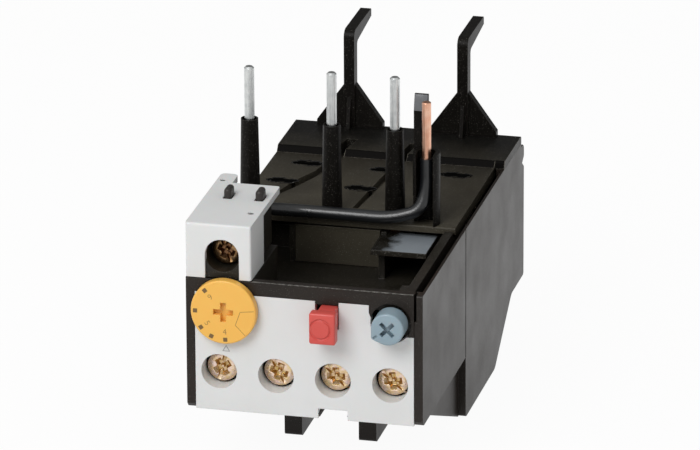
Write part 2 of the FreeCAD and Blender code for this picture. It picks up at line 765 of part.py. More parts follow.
def recess_liner():
    """Floor of the front recess, its inner right wall, left wall, ledge and hollow backs."""
    floor = prism(
        "x",
        [
            (BEZEL_T + 0.2, BROW_TOP),
            (BROW_END, BROW_TOP, 0.8),
            (FLOOR_START, FLOOR_TOP, 2.0),
            (HOLLOW_BACK, FLOOR_TOP),
            (HOLLOW_BACK, FLOOR_TOP - FLOOR_T),
            (FLOOR_START - 0.5, FLOOR_TOP - FLOOR_T, 2.0),
            (BROW_END - 0.5, BROW_TOP - FLOOR_T, 0.8),
            (BEZEL_T + 0.2, BROW_TOP - FLOOR_T),
        ],
        HOOD_RIGHT - 1.0,
        INNER_WALL_RIGHT,
    )
    loft_top = HOOD_BASE - SLIDING
    left = prism(
        "x",
        [
            (BEZEL_T + 0.2, loft_top),
            (20.0, loft_top),
            (20.0, FLOOR_TOP),
            (HOLLOW_BACK, FLOOR_TOP),
            (HOLLOW_BACK, FLOOR_TOP - FLOOR_T),
            (20.0 - FLOOR_T, FLOOR_TOP - FLOOR_T),
            (20.0 - FLOOR_T, loft_top - FLOOR_T),
            (BEZEL_T + 0.2, loft_top - FLOOR_T),
        ],
        -INNER_HALF + SLIDING,
        HOOD_RIGHT - 0.9,
    )
    cheek = block(
        (HOOD_RIGHT - 1.1, HOOD_RIGHT), (BEZEL_T + 0.2, 20.0), (BROW_TOP - 9.0 + 2.4, loft_top)
    )
    cheek = cheek.cut(
        prism(
            "x",
            [
                (-1.0, BROW_TOP - FLOOR_T),
                (BROW_END - 0.5, BROW_TOP - FLOOR_T),
                (FLOOR_START - 0.5, FLOOR_TOP - FLOOR_T),
                (FLOOR_START - 0.5, 0.0),
                (-1.0, 0.0),
            ],
            HOOD_RIGHT - 3.0,
            HOOD_RIGHT + 2.0,
        )
    )
    right = block(
        (INNER_WALL_LEFT, INNER_WALL_RIGHT), (BEZEL_T + 0.2, DECK_START - SLIDING), (
            FLOOR_TOP - FLOOR_T, SIDE_TOP - 0.4
        )
    )
    right_low = block(
        (INNER_WALL_LEFT, INNER_WALL_RIGHT),
        (DECK_START - SLIDING - 0.1, HOLLOW_BACK),
        (FLOOR_TOP - FLOOR_T, DECK_LOW - SLIDING),
    )
    gusset = prism(
        "x",
        [
            (BEZEL_T + 0.2, BROW_TOP - 1.0),
            (BEZEL_T + 0.2, SIDE_TOP - 0.4, 0.4),
            (6.0, SIDE_TOP - 0.4),
            (9.5, BROW_TOP - 1.0),
        ],
        INNER_WALL_LEFT - 1.3,
        INNER_WALL_LEFT + 0.1,
    )
    hollow_top = DECK_LOW - SLIDING
    hollow_floor = FLOOR_TOP - 0.1
    backs = [
        block(
            (-INNER_HALF + SLIDING, PANEL_LEFT + 1.0),
            (HOLLOW_BACK - WALL, HOLLOW_BACK),
            (hollow_floor, SLIDE_HIGH),
        ),
        block(
            (PANEL_RIGHT + 4.0, INNER_WALL_LEFT + 0.1),
            (HOLLOW_BACK - WALL, HOLLOW_BACK),
            (hollow_floor, SLIDE_HIGH),
        ),
        block(
            (PANEL_LEFT - 1.2, PANEL_LEFT - SLIDING),
            (PANEL_Y + 0.2, HOLLOW_BACK),
            (hollow_floor, hollow_top),
        ),
        block(
            (PANEL_RIGHT + SLIDING, PANEL_RIGHT + 1.2),
            (PANEL_Y + 0.2, PANEL_Y + 2.4),
            (hollow_floor, hollow_top),
        ),
    ]
    ledge = block(
        (PANEL_RIGHT + SLIDING, LEDGE_RIGHT), (LEDGE_START, PANEL_Y + 2.4), (
            LEDGE_TOP - LEDGE_T, LEDGE_TOP
        )
    )
    ledge_stem = block(
        (PANEL_RIGHT + 1.0, PANEL_RIGHT + 2.2),
        (LEDGE_START + 3.0, PANEL_Y + 2.4),
        (hollow_floor, LEDGE_TOP - 0.5),
    )
    liner = join([floor, left, cheek, right, right_low, gusset, ledge, ledge_stem] + backs)
    # stepped bore in which the reset plunger and its collar slide
    collar_end = BEZEL_T - 0.1 + KNOB_STROKE + GAP
    plunger_end = PLUNGER_END + KNOB_STROKE + GAP
    cuts = [
        rod("y", (KNOB_X, KNOB_Z), COLLAR_R + GAP, 0.0, collar_end),
        rod("y", (KNOB_X, KNOB_Z), PLUNGER_R + SLIDING, 0.0, plunger_end),
    ]
    # pockets for the pole pins beside the recess
    for x in (PINS[0], PINS[2]):
        cuts.append(rod("z", (x, PIN_Y), PIN_R + GAP, SLIDE_LOW - 1.0, HOOD_TOP))
    return drill(liner, cuts)


# ---------------------------------------------------------------- front


def knob_gap_outline():
    """Where the plate makes room for the bezel's lug, seen from the front."""
    return [
        (LUG_LEFT, PLATE_TOP + 1.0),
        (LUG_LEFT, LUG_SIDE_LOW + 1.0),
        (LUG_LEFT + 0.35, LUG_SIDE_LOW),
        (KNOB_HOLE_X, LUG_SIDE_LOW),
        (KNOB_HOLE_X, LUG_LOW),
        (PLATE_HALF + 1.0, LUG_LOW),
        (PLATE_HALF + 1.0, PLATE_TOP + 1.0),
    ]


def front_plate():
    """White plate with four screw funnels and the openings for dial, button and knob."""
    outline = [
        (-PLATE_HALF, 0.0, 0.5),
        (NOTCH_LEFT, 0.0, 0.2),
        (NOTCH_LEFT, NOTCH_H, 0.3),
        (NOTCH_RIGHT, NOTCH_H, 0.3),
        (NOTCH_RIGHT, 0.0, 0.2),
        (PLATE_HALF, 0.0, 0.5),
        (PLATE_HALF, PLATE_TOP),
        (-PLATE_HALF, PLATE_TOP),
    ]
    plate = prism("y", outline, 0.0, PLATE_T)
    collars = [
        rod("y", (x, AUX_Z), FUNNEL_R + FUNNEL_WALL, PLATE_T - 0.1, PLATE_T + FUNNEL_DEPTH)
        for x in AUX_X
    ]
    plate = join([plate] + collars)
    cuts = [rod("y", (x, AUX_Z), FUNNEL_R, -1.0, PLATE_T + FUNNEL_DEPTH + 1.0) for x in AUX_X]
    cuts.append(rod("y", (DIAL_X, DIAL_Z), DIAL_HUB_R + GAP, -1.0, PLATE_T + 1.0))
    half = STEM_W / 2.0 + GAP
    cuts.append(
        block(
            (STEM_X - half, STEM_X + half),
            (-1.0, PLATE_T + 1.0),
            (STEM_Z - STEM_H / 2.0 - GAP, PLATE_TOP + 1.0),
        )
    )
    cuts.append(prism("y", knob_gap_outline(), -1.0, PLATE_T + 1.0))
    cuts.append(rod("y", (KNOB_HOLE_X, KNOB_HOLE_Z), KNOB_HOLE_R, -1.0, PLATE_T + 1.0))
    return drill(plate, cuts)


def front_bezel():
    """Dark band above the plate, with the lug round the knob and the guard over the button."""
    band = prism(
        "y",
        [
            (-HALF, BEZEL_TOP),
            (-HALF, BEZEL_TOP - BEZEL_END_H),
            (-INNER_HALF + 0.1, PLATE_TOP + FIT),
            (LUG_LEFT + FIT, PLATE_TOP + FIT),
            (LUG_LEFT + FIT, LUG_SIDE_LOW + 1.0),
            (LUG_LEFT + 0.35 + FIT, LUG_SIDE_LOW + FIT),
            (KNOB_HOLE_X + FIT, LUG_SIDE_LOW + FIT),
            (KNOB_HOLE_X + FIT, LUG_LOW + FIT),
            (PLATE_HALF, LUG_LOW + FIT),
            (PLATE_HALF, BEZEL_TOP),
        ],
        0.0,
        BEZEL_T,
    )
    half = STEM_W / 2.0 + 0.2
    front = BUTTON_FACE + BUTTON_T + BUTTON_STROKE + SLIDING
    guard = prism(
        "x",
        [
            (front, STEM_Z + STEM_H / 2.0 + 2.0, 0.3),
            (0.1, BEZEL_TOP - 0.5),
            (BEZEL_T, BEZEL_TOP - 0.5),
            (BEZEL_T, STEM_Z + STEM_H / 2.0 + GAP),
            (front, STEM_Z + STEM_H / 2.0 + GAP),
        ],
        STEM_X - half,
        STEM_X + half,
    )
    bezel = join([band, guard])
    return bezel.cut(rod("y", (KNOB_HOLE_X, KNOB_HOLE_Z), KNOB_HOLE_R, -3.0, BEZEL_T + 1.0))


def contact_carrier():
    """Inner frame: ribs between the auxiliary terminals, a ceiling, a back wall and the shaft bearings."""
    floor = SKIRT_LEVEL + WALL + SLIDING
    top = CARRIER_CEILING + CARRIER_T
    half = INNER_HALF - SLIDING
    start = PLATE_T + FUNNEL_DEPTH + SLIDING
    angle = prism(
        "x",
        [
            (start, CARRIER_CEILING),
            (start, top),
            (CARRIER_BACK + CARRIER_T, top, 0.5),
            (CARRIER_BACK + CARRIER_T, floor),
            (CARRIER_BACK, floor),
            (CARRIER_BACK, CARRIER_CEILING, 0.5),
        ],
        -half,
        half,
    )
    pieces = [angle]
    for step in (-1, 0, 1):
        centre = step * AUX_PITCH
        pieces.append(
            block(
                (centre - 0.6, centre + 0.6), (start, CARRIER_BACK + 0.1), (floor, CARRIER_CEILING + 0.1)
            ),
        )
    brow_low = BROW_TOP - FLOOR_T - SLIDING
    # bearing wall of the dial's shaft
    pieces.append(
        prism(
            "y",
            [
                (DIAL_X - 3.6, top - 0.1),
                (DIAL_X - 2.2, brow_low + 1.0, 1.0),
                (DIAL_X + 2.2, brow_low + 1.0, 1.0),
                (DIAL_X + 3.6, top - 0.1),
            ],
            CAM_END + 0.9,
            CAM_END + 2.2,
        )
    )
    # post with the setting lever's pivot
    pieces.append(
        prism(
            "y",
            [
                (LEVER_PIVOT_X - 1.4, top - 0.1),
                (LEVER_PIVOT_X - 1.4, LEVER_PIVOT_Z + 1.4, 1.2),
                (LEVER_PIVOT_X + 1.4, LEVER_PIVOT_Z + 1.4, 1.2),
                (LEVER_PIVOT_X + 1.4, top - 0.1),
            ],
            CAM_END + 0.9,
            CAM_END + 2.2,
        )
    )
    pieces.append(rod("y", (LEVER_PIVOT_X, LEVER_PIVOT_Z), 0.8, CAM_START - 0.2, CAM_END + 1.0))
    # guides of the button stem and the reset plunger
    pieces.append(
        block((STEM_X - 3.2, STEM_X + 3.2), (4.2, 5.4), (top - 0.1, brow_low))
    )
    pieces.append(
        prism(
            "y",
            [
                (KNOB_X - 3.0, top - 0.1),
                (KNOB_X - 2.2, brow_low, 0.6),
                (INNER_WALL_LEFT - SLIDING, brow_low, 0.4),
                (INNER_WALL_LEFT - SLIDING, top - 0.1),
            ],
            4.2,
            5.6,
        )
    )
    frame = join(pieces)
    cuts = [
        rod("y", (DIAL_X, DIAL_Z), DIAL_SHAFT_R + FIT, 0.0, 12.0),
        rod("y", (KNOB_X, KNOB_Z), PLUNGER_R + FIT, 0.0, 12.0),
        block(
            (STEM_X - 1.5 - SLIDING, STEM_X + 1.5 + SLIDING),
            (3.0, 7.0),
            (STEM_Z - STEM_H / 2.0 - SLIDING, HOOD_TOP),
        ),
    ]
    # slots in the back wall for the contact bars
    half = AUX_TAIL_W / 2.0 + SLIDING
    z = (AUX_BAR_TOP - AUX_BAR_T - 2.0 * SLIDING, AUX_BAR_TOP + 2.0 * SLIDING)
    for x in FIXED_CONTACTS:
        cuts.append(block((x - half, x + half), (CARRIER_BACK - 1.0, CARRIER_BACK + 3.0), z))
    return drill(frame, cuts)


# ---------------------------------------------------------------- controls


def setting_dial():
    """Dial disc with hub and shaft; a cross recess in its face and raised rim."""
    disc = rod("y", (DIAL_X, DIAL_Z), DIAL_R, DIAL_FACE, DIAL_FACE + DIAL_T)
    rim = [edge for edge in disc.Edges if edge.BoundBox.YMax < DIAL_FACE + 0.01 and edge.Length > 2.0]
    disc = disc.makeFillet(0.35, rim)
    hub = rod("y", (DIAL_X, DIAL_Z), DIAL_HUB_R, DIAL_FACE + DIAL_T - 0.1, CAM_START - GAP)
    shaft = rod("y", (DIAL_X, DIAL_Z), DIAL_SHAFT_R, 0.0, DIAL_SHAFT_END)
    dial = join([disc, hub, shaft])
    cross = []
    for long_x, long_z in ((1.9, 0.55), (0.55, 1.9)):
        cross.append(
            block(
                (DIAL_X - long_x, DIAL_X + long_x),
                (DIAL_FACE - 1.0, DIAL_FACE + 1.2),
                (DIAL_Z - long_z, DIAL_Z + long_z),
            )
        )
    return drill(dial, cross)


def setting_cam():
    """Spiral cam on the dial's shaft: its radius under the shaft grows as the dial turns."""
    steps = 12
    start = math.radians(270.0)
    sweep = math.radians(DIAL_TURN)
    margin = math.radians(12.0)
    points = []
    for index in range(steps + 1):
        turn = -margin + (sweep + 2.0 * margin) * index / steps
        radius = CAM_LOW_R + CAM_SLOPE * turn
        angle = start - turn
        points.append(
            vector("y", DIAL_X + radius * math.cos(angle), DIAL_Z + radius * math.sin(angle), CAM_START)
        )
    curve = Part.BSplineCurve()
    curve.interpolate(points)
    # the rest of the outline is a round of the smallest radius about the shaft
    low = CAM_LOW_R - CAM_SLOPE * margin
    gap = 2.0 * math.pi - sweep - 2.0 * margin
    middle_angle = start + margin + gap / 2.0
    middle = vector(
        "y", DIAL_X + low * math.cos(middle_angle), DIAL_Z + low * math.sin(middle_angle), CAM_START
    )
    return_angle = start + margin + gap
    foot = vector(
        "y", DIAL_X + low * math.cos(return_angle), DIAL_Z + low * math.sin(return_angle), CAM_START
    )
    edges = [
        curve.toShape(),
        Part.makeLine(points[-1], foot),
        Part.Arc(foot, middle, points[0]).toShape(),
    ]
    cam = Part.Face(Part.Wire(edges)).extrude(direction("y", CAM_END - CAM_START))
    return cam.cut(rod("y", (DIAL_X, DIAL_Z), DIAL_SHAFT_R + 0.02, CAM_START - 1.0, CAM_END + 1.0))


def setting_lever():
    """Lever under the cam; its tail sets how far the rocker stands from tripping."""
    nose_z = DIAL_Z - CAM_LOW_R - GAP
    pivot = (LEVER_PIVOT_X, LEVER_PIVOT_Z)
    y = (CAM_START, CAM_END)
    arm = prism(
        "y",
        [
            (DIAL_X - 1.0, nose_z, 0.4),
            (DIAL_X - 1.0, nose_z - 1.4, 0.4),
            (LEVER_PIVOT_X, LEVER_PIVOT_Z - 1.5),
            (LEVER_PIVOT_X + 5.0, LEVER_PIVOT_Z - 1.2, 0.4),
            (LEVER_PIVOT_X + 5.0, LEVER_PIVOT_Z + 0.2, 0.4),
            (LEVER_PIVOT_X, LEVER_PIVOT_Z + 1.5),
            (DIAL_X + 1.0, nose_z, 0.4),
        ],
        y[0],
        y[1],
    )
    hub = rod("y", pivot, 1.7, y[0], y[1])
    lever = join([arm, hub])
    return lever.cut(rod("y", pivot, 0.8 + FIT, y[0] - 1.0, y[1] + 1.0))


def test_button():
    """Red square push button with an engraved ring."""
    half = BUTTON_W / 2.0
    cap = soft_block(
        "y", (BUTTON_X - half, BUTTON_X + half), (BUTTON_LOW, BUTTON_HIGH), (BUTTON_FACE, BUTTON_FACE + BUTTON_T), 0.5
    )
    front = [edge for edge in cap.Edges if edge.BoundBox.YMax < BUTTON_FACE + 0.01]
    cap = cap.makeFillet(0.35, front)
    stem = soft_block(
        "y",
        (STEM_X - STEM_W / 2.0, STEM_X + STEM_W / 2.0),
        (STEM_Z - STEM_H / 2.0, STEM_Z + STEM_H / 2.0),
        (BUTTON_FACE + BUTTON_T - 0.1, PLATE_T + 0.6),
        0.3,
    )
    ring = tube(
        "y", (BUTTON_X - 0.35, BUTTON_LOW + 2.95), 1.95, 1.7, BUTTON_FACE - 1.0, BUTTON_FACE + 0.15
    )
    return join([cap, stem]).cut(ring)


def test_plunger():
    """Cranked plunger behind the button: it runs over the terminals and down to the contact blade."""
    tip_y = BLADE_Y - BLADE_T / 2.0 - GAP
    profile = [
        (PLATE_T + 0.6, STEM_Z - STEM_H / 2.0 + 0.1),
        (PLATE_T + 0.6, STEM_Z + STEM_H / 2.0 - 0.6),
        (7.4, STEM_Z + STEM_H / 2.0 - 0.6),
        (19.6, 14.5 + 0.5, 0.6),
        (22.0, 14.5 - 0.6, 0.6),
        (22.0, BLADE_HIGH - 0.6),
        (tip_y, BLADE_HIGH - 0.8),
        (tip_y, BLADE_LOW + 0.8),
        (19.9, BLADE_LOW + 0.8),
        (19.9, 14.4, 0.8),
        (7.0, STEM_Z - STEM_H / 2.0 + 0.1),
    ]
    return prism("x", profile, STEM_X - 1.2, STEM_X + 1.2)


def reset_collar():
    """Bush that slides with the reset plunger and keeps the spring on it."""
    return tube("y", (KNOB_X, KNOB_Z), COLLAR_R, PLUNGER_R + FIT, 0.3, BEZEL_T - 0.1)


def teardrop(centre, radius, tip, tip_radius, low, high):
    """Round body with a rounded nose whose flanks are tangent to both circles, along Y."""
    run = math.hypot(tip[0] - centre[0], tip[1] - centre[1])
    heading = math.atan2(tip[1] - centre[1], tip[0] - centre[0])
    spread = math.acos((radius - tip_radius) / run)

    def on(middle, size, angle):
        return vector("y", middle[0] + size * math.cos(angle), middle[1] + size * math.sin(angle), low)

    edges = [
        Part.Arc(
            on(centre, radius, heading + spread),
            on(centre, radius, heading + math.pi),
            on(centre, radius, heading - spread),
        ).toShape(),
        Part.makeLine(on(centre, radius, heading - spread), on(tip, tip_radius, heading - spread)),
        Part.Arc(
            on(tip, tip_radius, heading - spread),
            on(tip, tip_radius, heading),
            on(tip, tip_radius, heading + spread),
        ).toShape(),
        Part.makeLine(on(tip, tip_radius, heading + spread), on(centre, radius, heading + spread)),
    ]
    return Part.Face(Part.Wire(edges)).extrude(direction("y", high - low))


def reset_knob():
    """Blue-grey knob with a pointer nose, a cross recess and the plunger behind it."""
    centre = (KNOB_X, KNOB_Z)
    heading = math.radians(KNOB_NOSE_ANGLE)
    tip = (KNOB_X + KNOB_NOSE * math.cos(heading), KNOB_Z + KNOB_NOSE * math.sin(heading))
    head = teardrop(centre, KNOB_R, tip, KNOB_NOSE_R, KNOB_FACE, KNOB_END)
    front = [edge for edge in head.Edges if edge.BoundBox.YMax < KNOB_FACE + 0.01]
    head = head.makeFillet(0.4, front)
    plunger = rod("y", centre, PLUNGER_R, KNOB_END - 0.1, PLUNGER_END)
    shoulder = rod("y", centre, COLLAR_R, KNOB_END - 0.1, 0.1)
    knob = join([head, shoulder, plunger])
    cuts = []
    for angle in (45.0, 135.0):
        arm = block(
            (KNOB_X - 1.7, KNOB_X + 1.7),
            (KNOB_FACE - 1.0, KNOB_FACE + 1.3),
            (KNOB_Z - 0.38, KNOB_Z + 0.38),
        )
        arm.rotate(vector("y", KNOB_X, KNOB_Z, 0.0), direction("y", 1.0), angle)
        cuts.append(arm)
    mark = block(
        (KNOB_X + 2.3, KNOB_X + 3.2), (KNOB_FACE - 1.0, KNOB_FACE + 0.3), (KNOB_Z - 0.2, KNOB_Z + 0.2)
    )
    mark.rotate(vector("y", KNOB_X, KNOB_Z, 0.0), direction("y", 1.0), -KNOB_NOSE_ANGLE)
    cuts.append(mark)
    return drill(knob, cuts)


# ---------------------------------------------------------------- screw terminals


def terminal_screw(centre, head_r, head_start, head_end, shank_r, shank_end):
    """Pan-head screw along Y with a cross recess and a slot."""
    head = rod("y", centre, head_r, head_start, head_end)
    front = [edge for edge in head.Edges if edge.BoundBox.YMax < head_start + 0.01 and edge.Length > 2.0]
    head = head.makeFillet(min(0.5, head_r / 5.0), front)
    shank = rod("y", centre, shank_r, head_end - 0.1, shank_end)
    screw = join([head, shank])
    depth = (head_end - head_start) * 0.65
    arm = head_r * 0.62
    width = head_r * 0.14
    cuts = []
    for long_x, long_z in ((arm, width), (width, arm)):
        cuts.append(
            block(
                (centre[0] - long_x, centre[0] + long_x),
                (head_start - 1.0, head_start + depth),
                (centre[1] - long_z, centre[1] + long_z),
            )
        )
    return drill(screw, cuts)


def clamp_cage(centre_x, screw_z, half, z, y, nut_t, back_t, shank_r):
    """Rising clamp: a square frame open above and below, threaded at its front wall."""
    cage = soft_block("z", (centre_x - half, centre_x + half), y, z, 0.5)
    inner = half - min(nut_t, 1.0)
    hollow = block(
        (centre_x - inner, centre_x + inner), (y[0] + nut_t, y[1] - back_t), (z[0] - 1.0, z[1] + 1.0)
    )
    bore = rod("y", (centre_x, screw_z), shank_r + FIT, y[0] - 1.0, y[0] + nut_t + 1.0)
    return drill(cage, [hollow, bore])


def aux_screw(x):
    """Auxiliary terminal screw."""
    end = AUX_CLAMP_START + AUX_NUT_T + 0.2
    return terminal_screw((x, AUX_Z), AUX_HEAD_R, AUX_HEAD_START, AUX_HEAD_END, AUX_SHANK_R, end)


def aux_clamp(x):
    """Clamp on an auxiliary terminal screw."""
    return clamp_cage(
        x,
        AUX_Z,
        AUX_CLAMP_HALF,
        (AUX_CLAMP_LOW, AUX_CLAMP_HIGH),
        (AUX_CLAMP_START, AUX_CLAMP_END),
        AUX_NUT_T,
        AUX_BACK_T,
        AUX_SHANK_R,
    )


def main_screw(x):
    """Main terminal screw."""
    end = MAIN_CLAMP_START + MAIN_NUT_T + 0.3
    return terminal_screw((x, MAIN_Z), MAIN_HEAD_R, MAIN_HEAD_START, MAIN_HEAD_END, MAIN_SHANK_R, end)


def main_clamp(x):
    """Clamp on a main terminal screw."""
    return clamp_cage(
        x,
        MAIN_Z,
        MAIN_CLAMP_HALF,
        (MAIN_CLAMP_LOW, MAIN_CLAMP_HIGH),
        (MAIN_CLAMP_START, MAIN_CLAMP_END),
        MAIN_NUT_T,
        MAIN_BACK_T,
        MAIN_SHANK_R,
    )


def bridge_bar(x, screw_z, width, y, top, drop, thickness, shank_r, tail):
    """Terminal bar over a clamp: a front tab that holds the screw, a tab inside the clamp and a tail.

    y holds the front tab's and the inner tab's front faces; tail is the Y where the bar ends.
    """
    low = top - thickness
    half = width / 2.0
    plate = block((x - half, x + half), (y[0], tail), (low, top))
    front = soft_block("y", (x - half, x + half), (drop, top), (y[0], y[0] + thickness * 0.75), 0.3)
    inner = soft_block("y", (x - half, x + half), (drop, top), (y[1], y[1] + thickness * 0.8), 0.3)
    bar = join([plate, front, inner])
    return bar.cut(rod("y", (x, screw_z), shank_r + SLIDING, y[0] - 1.0, y[0] + thickness))


def load_bars():
    """Copper bars from the main clamps to the feet of the bimetal strips."""
    bars = []
    tabs = (MAIN_HEAD_END + SLIDING, MAIN_CLAMP_START + MAIN_NUT_T + 0.6)
    for x in POLES:
        bars.append(
            bridge_bar(
                x,
                MAIN_Z,
                BAR_W,
                tabs,
                BAR_TOP,
                MAIN_Z - 2.8,
                BAR_T,
                MAIN_SHANK_R,
                STRIP_Y + STRIP_W / 2.0 + 1.0,
            )
        )
    return Part.makeCompound(bars)


def aux_bar(x, contact_x, contact_y, contact_z):
    """Contact bar from an auxiliary clamp, through the carrier's back wall, to a fixed contact."""
    tabs = (AUX_HEAD_END + 0.1, AUX_CLAMP_START + AUX_NUT_T + 0.5)
    bend = CARRIER_BACK - SLIDING
    bar = bridge_bar(x, AUX_Z, 3.0, tabs, AUX_BAR_TOP, AUX_Z - 2.0, AUX_BAR_T, AUX_SHANK_R, bend)
    half = AUX_TAIL_W / 2.0
    z = (AUX_BAR_TOP - AUX_BAR_T, AUX_BAR_TOP)
    cross = block((min(x, contact_x) - half, max(x, contact_x) + half), (bend - 1.6, bend), z)
    tail = block((contact_x - half, contact_x + half), (bend - 1.6, contact_y), z)
    drop = block(
        (contact_x - half, contact_x + half), (contact_y - AUX_BAR_T, contact_y), (
            contact_z - half, AUX_BAR_TOP
        )
    )
    button = rod("y", (contact_x, contact_z), CONTACT_R, contact_y - 0.1, contact_y + CONTACT_T)
    return join([bar, cross, tail, drop, button])


def fixed_contact_bars():
    """Fixed contacts of both auxiliary circuits."""
    contact_z = (BLADE_LOW + BLADE_HIGH) / 2.0
    nc_y = BLADE_Y - BLADE_T / 2.0 - 2.0 * CONTACT_T - GAP
    no_y = nc_y - 1.4
    bars = []
    for x, contact_x, y in zip(AUX_X, FIXED_CONTACTS, (no_y, no_y, nc_y, nc_y)):
        bars.append(aux_bar(x, contact_x, y, contact_z))
    return Part.makeCompound(bars[2:]), Part.makeCompound(bars[:2])


# ---------------------------------------------------------------- coil terminal and hood


def terminal_cover():
    """White hood: front with an arch, right cheek, roof with two slots and a rear tab."""
    front = block((HOOD_LEFT, HOOD_RIGHT), (0.0, HOOD_WALL), (HOOD_BASE, HOOD_TOP))
    roof = prism(
        "z",
        [
            (HOOD_LEFT, 0.0),
            (HOOD_RIGHT, 0.0),
            (HOOD_RIGHT, HOOD_ROOF_DEPTH, 0.6),
            (HOOD_LEFT + HOOD_TAB_W, HOOD_ROOF_DEPTH),
            (HOOD_LEFT + HOOD_TAB_W, HOOD_TAB_DEPTH, 1.0),
            (HOOD_LEFT, HOOD_TAB_DEPTH, 1.0),
        ],
        HOOD_TOP - HOOD_WALL,
        HOOD_TOP,
    )
    cheeks = [
        block((HOOD_RIGHT - HOOD_WALL, HOOD_RIGHT), (0.0, HOOD_SIDE_DEPTH), (HOOD_BASE, HOOD_TOP)),
        block((HOOD_LEFT, HOOD_LEFT + HOOD_WALL), (0.0, HOOD_SIDE_DEPTH), (HOOD_BASE, HOOD_TOP)),
    ]
    hood = join([front, roof] + cheeks)
    top_front = [
        edge
        for edge in hood.Edges
        if edge.BoundBox.YMax < 0.01 and (edge.BoundBox.ZMin > HOOD_TOP - 0.01)
    ]
    top_front += [
        edge
        for edge in hood.Edges
        if edge.BoundBox.YMax < 0.01
        and edge.BoundBox.XMax - edge.BoundBox.XMin < 0.01
        and (edge.BoundBox.XMax > HOOD_RIGHT - 0.01 or edge.BoundBox.XMin < HOOD_LEFT + 0.01)
    ]
    hood = hood.makeFillet(0.5, top_front)
    arch = prism(
        "y",
        [
            (ARCH_X - ARCH_R, HOOD_BASE - 1.0),
            (ARCH_X + ARCH_R, HOOD_BASE - 1.0),
            (ARCH_X + ARCH_R, ARCH_Z + ARCH_R, ARCH_R * 0.98),
            (ARCH_X - ARCH_R, ARCH_Z + ARCH_R, ARCH_R * 0.98),
        ],
        -1.0,
        HOOD_WALL + 1.0,
    )
    cuts = [arch]
    for x in RIB_X:
        cuts.append(
            soft_block(
                "z",
                (x - RIB_W / 2.0 - SLIDING, x + RIB_W / 2.0 + SLIDING),
                (RIB_MIDDLE_Y - RIB_L / 2.0 - SLIDING, RIB_MIDDLE_Y + RIB_L / 2.0 + SLIDING),
                (HOOD_TOP - HOOD_WALL - 1.0, HOOD_TOP + 1.0),
                RIB_W / 2.2,
            )
        )
    for x, y in ((HOOD_LEFT + 1.1, HOOD_ROOF_DEPTH + 1.0), (HOOD_RIGHT - 1.7, 7.2)):
        cuts.append(rod("z", (x, y), 0.4, HOOD_TOP - 0.6, HOOD_TOP + 1.0))
    return drill(hood, cuts)


def coil_terminal_block():
    """Black insert under the hood: screw funnel, clamp chamber and two domed ribs."""
    left = HOOD_LEFT + HOOD_WALL + SLIDING
    right = HOOD_RIGHT - HOOD_WALL - SLIDING
    top = HOOD_TOP - HOOD_WALL - SLIDING
    front = HOOD_WALL - 0.7
    body = block((left, right), (HOOD_WALL + SLIDING, HOOD_ROOF_DEPTH - 1.5), (HOOD_BASE, top))
    sill = block(
        (ARCH_X - ARCH_R + SLIDING, ARCH_X + ARCH_R - SLIDING), (front, HOOD_WALL + 0.5), (
            HOOD_BASE, ARCH_Z - 1.0
        )
    )
    pieces = [body, sill]
    for x in RIB_X:
        rib = soft_block(
            "z",
            (x - RIB_W / 2.0, x + RIB_W / 2.0),
            (RIB_MIDDLE_Y - RIB_L / 2.0, RIB_MIDDLE_Y + RIB_L / 2.0),
            (top - 0.1, HOOD_TOP + 0.7),
            RIB_W / 2.3,
        )
        crown = [edge for edge in rib.Edges if edge.BoundBox.ZMin > HOOD_TOP + 0.69]
        pieces.append(rib.makeFillet(0.5, crown))
    insert = join(pieces)
    room = COIL_CLAMP_HALF + 0.1
    chamber = block(
        (ARCH_X - room - GAP, ARCH_X + room + GAP),
        (COIL_CLAMP_START - 3.4, HOOD_ROOF_DEPTH),
        (ARCH_Z - room, ARCH_Z + room),
    )
    cuts = [
        rod("y", (ARCH_X, ARCH_Z), ARCH_R, front - 1.0, 5.4),
        rod("y", (ARCH_X, ARCH_Z), COIL_SHANK_R + SLIDING, front - 1.0, COIL_CLAMP_START),
        chamber,
    ]
    return drill(insert, cuts)


def coil_screw():
    """Brass-coloured screw seen through the arch."""
    end = COIL_CLAMP_START + AUX_NUT_T + 0.2
    return terminal_screw(
        (ARCH_X, ARCH_Z), COIL_HEAD_R, COIL_HEAD_START, COIL_HEAD_END, COIL_SHANK_R, end
    )


def coil_clamp():
    """Rising clamp of the coil terminal."""
    reach = COIL_CLAMP_HALF - 0.2
    return clamp_cage(
        ARCH_X,
        ARCH_Z,
        COIL_CLAMP_HALF,
        (ARCH_Z - reach, ARCH_Z + reach),
        (COIL_CLAMP_START, COIL_CLAMP_END),
        AUX_NUT_T,
        AUX_BACK_T,
        COIL_SHANK_R,
    )


def coil_terminal_bar():
    """Contact bar inside the coil clamp, standing on the chamber's floor."""
    front = COIL_CLAMP_START + AUX_NUT_T + 0.5
    half = COIL_CLAMP_HALF - 1.4
    low = ARCH_Z - COIL_CLAMP_HALF - 0.1
    return soft_block(
        "y", (ARCH_X - half, ARCH_X + half), (low, ARCH_Z + half + 0.4), (front, front + 0.8), 0.4
    )


# ---------------------------------------------------------------- current paths


def pin_sleeves():
    """Tapered insulating sleeves with open cups at the top, one per pole pin."""
    sleeves = []
    foot = DECK_TOP - 1.0
    for x in PINS:
        outside = cone("z", (x, PIN_Y), SLEEVE_FOOT_R, SLEEVE_TIP_R, foot, SLEEVE_TOP)
        bore = rod("z", (x, PIN_Y), PIN_SHANK_R + FIT, foot - 1.0, SLEEVE_TOP + 1.0)
        cup = rod("z", (x, PIN_Y), SLEEVE_CUP_R, SLEEVE_TOP - SLEEVE_CUP_DEPTH, SLEEVE_TOP + 1.0)
        sleeves.append(drill(outside, [bore, cup]))
    return Part.makeCompound(sleeves)


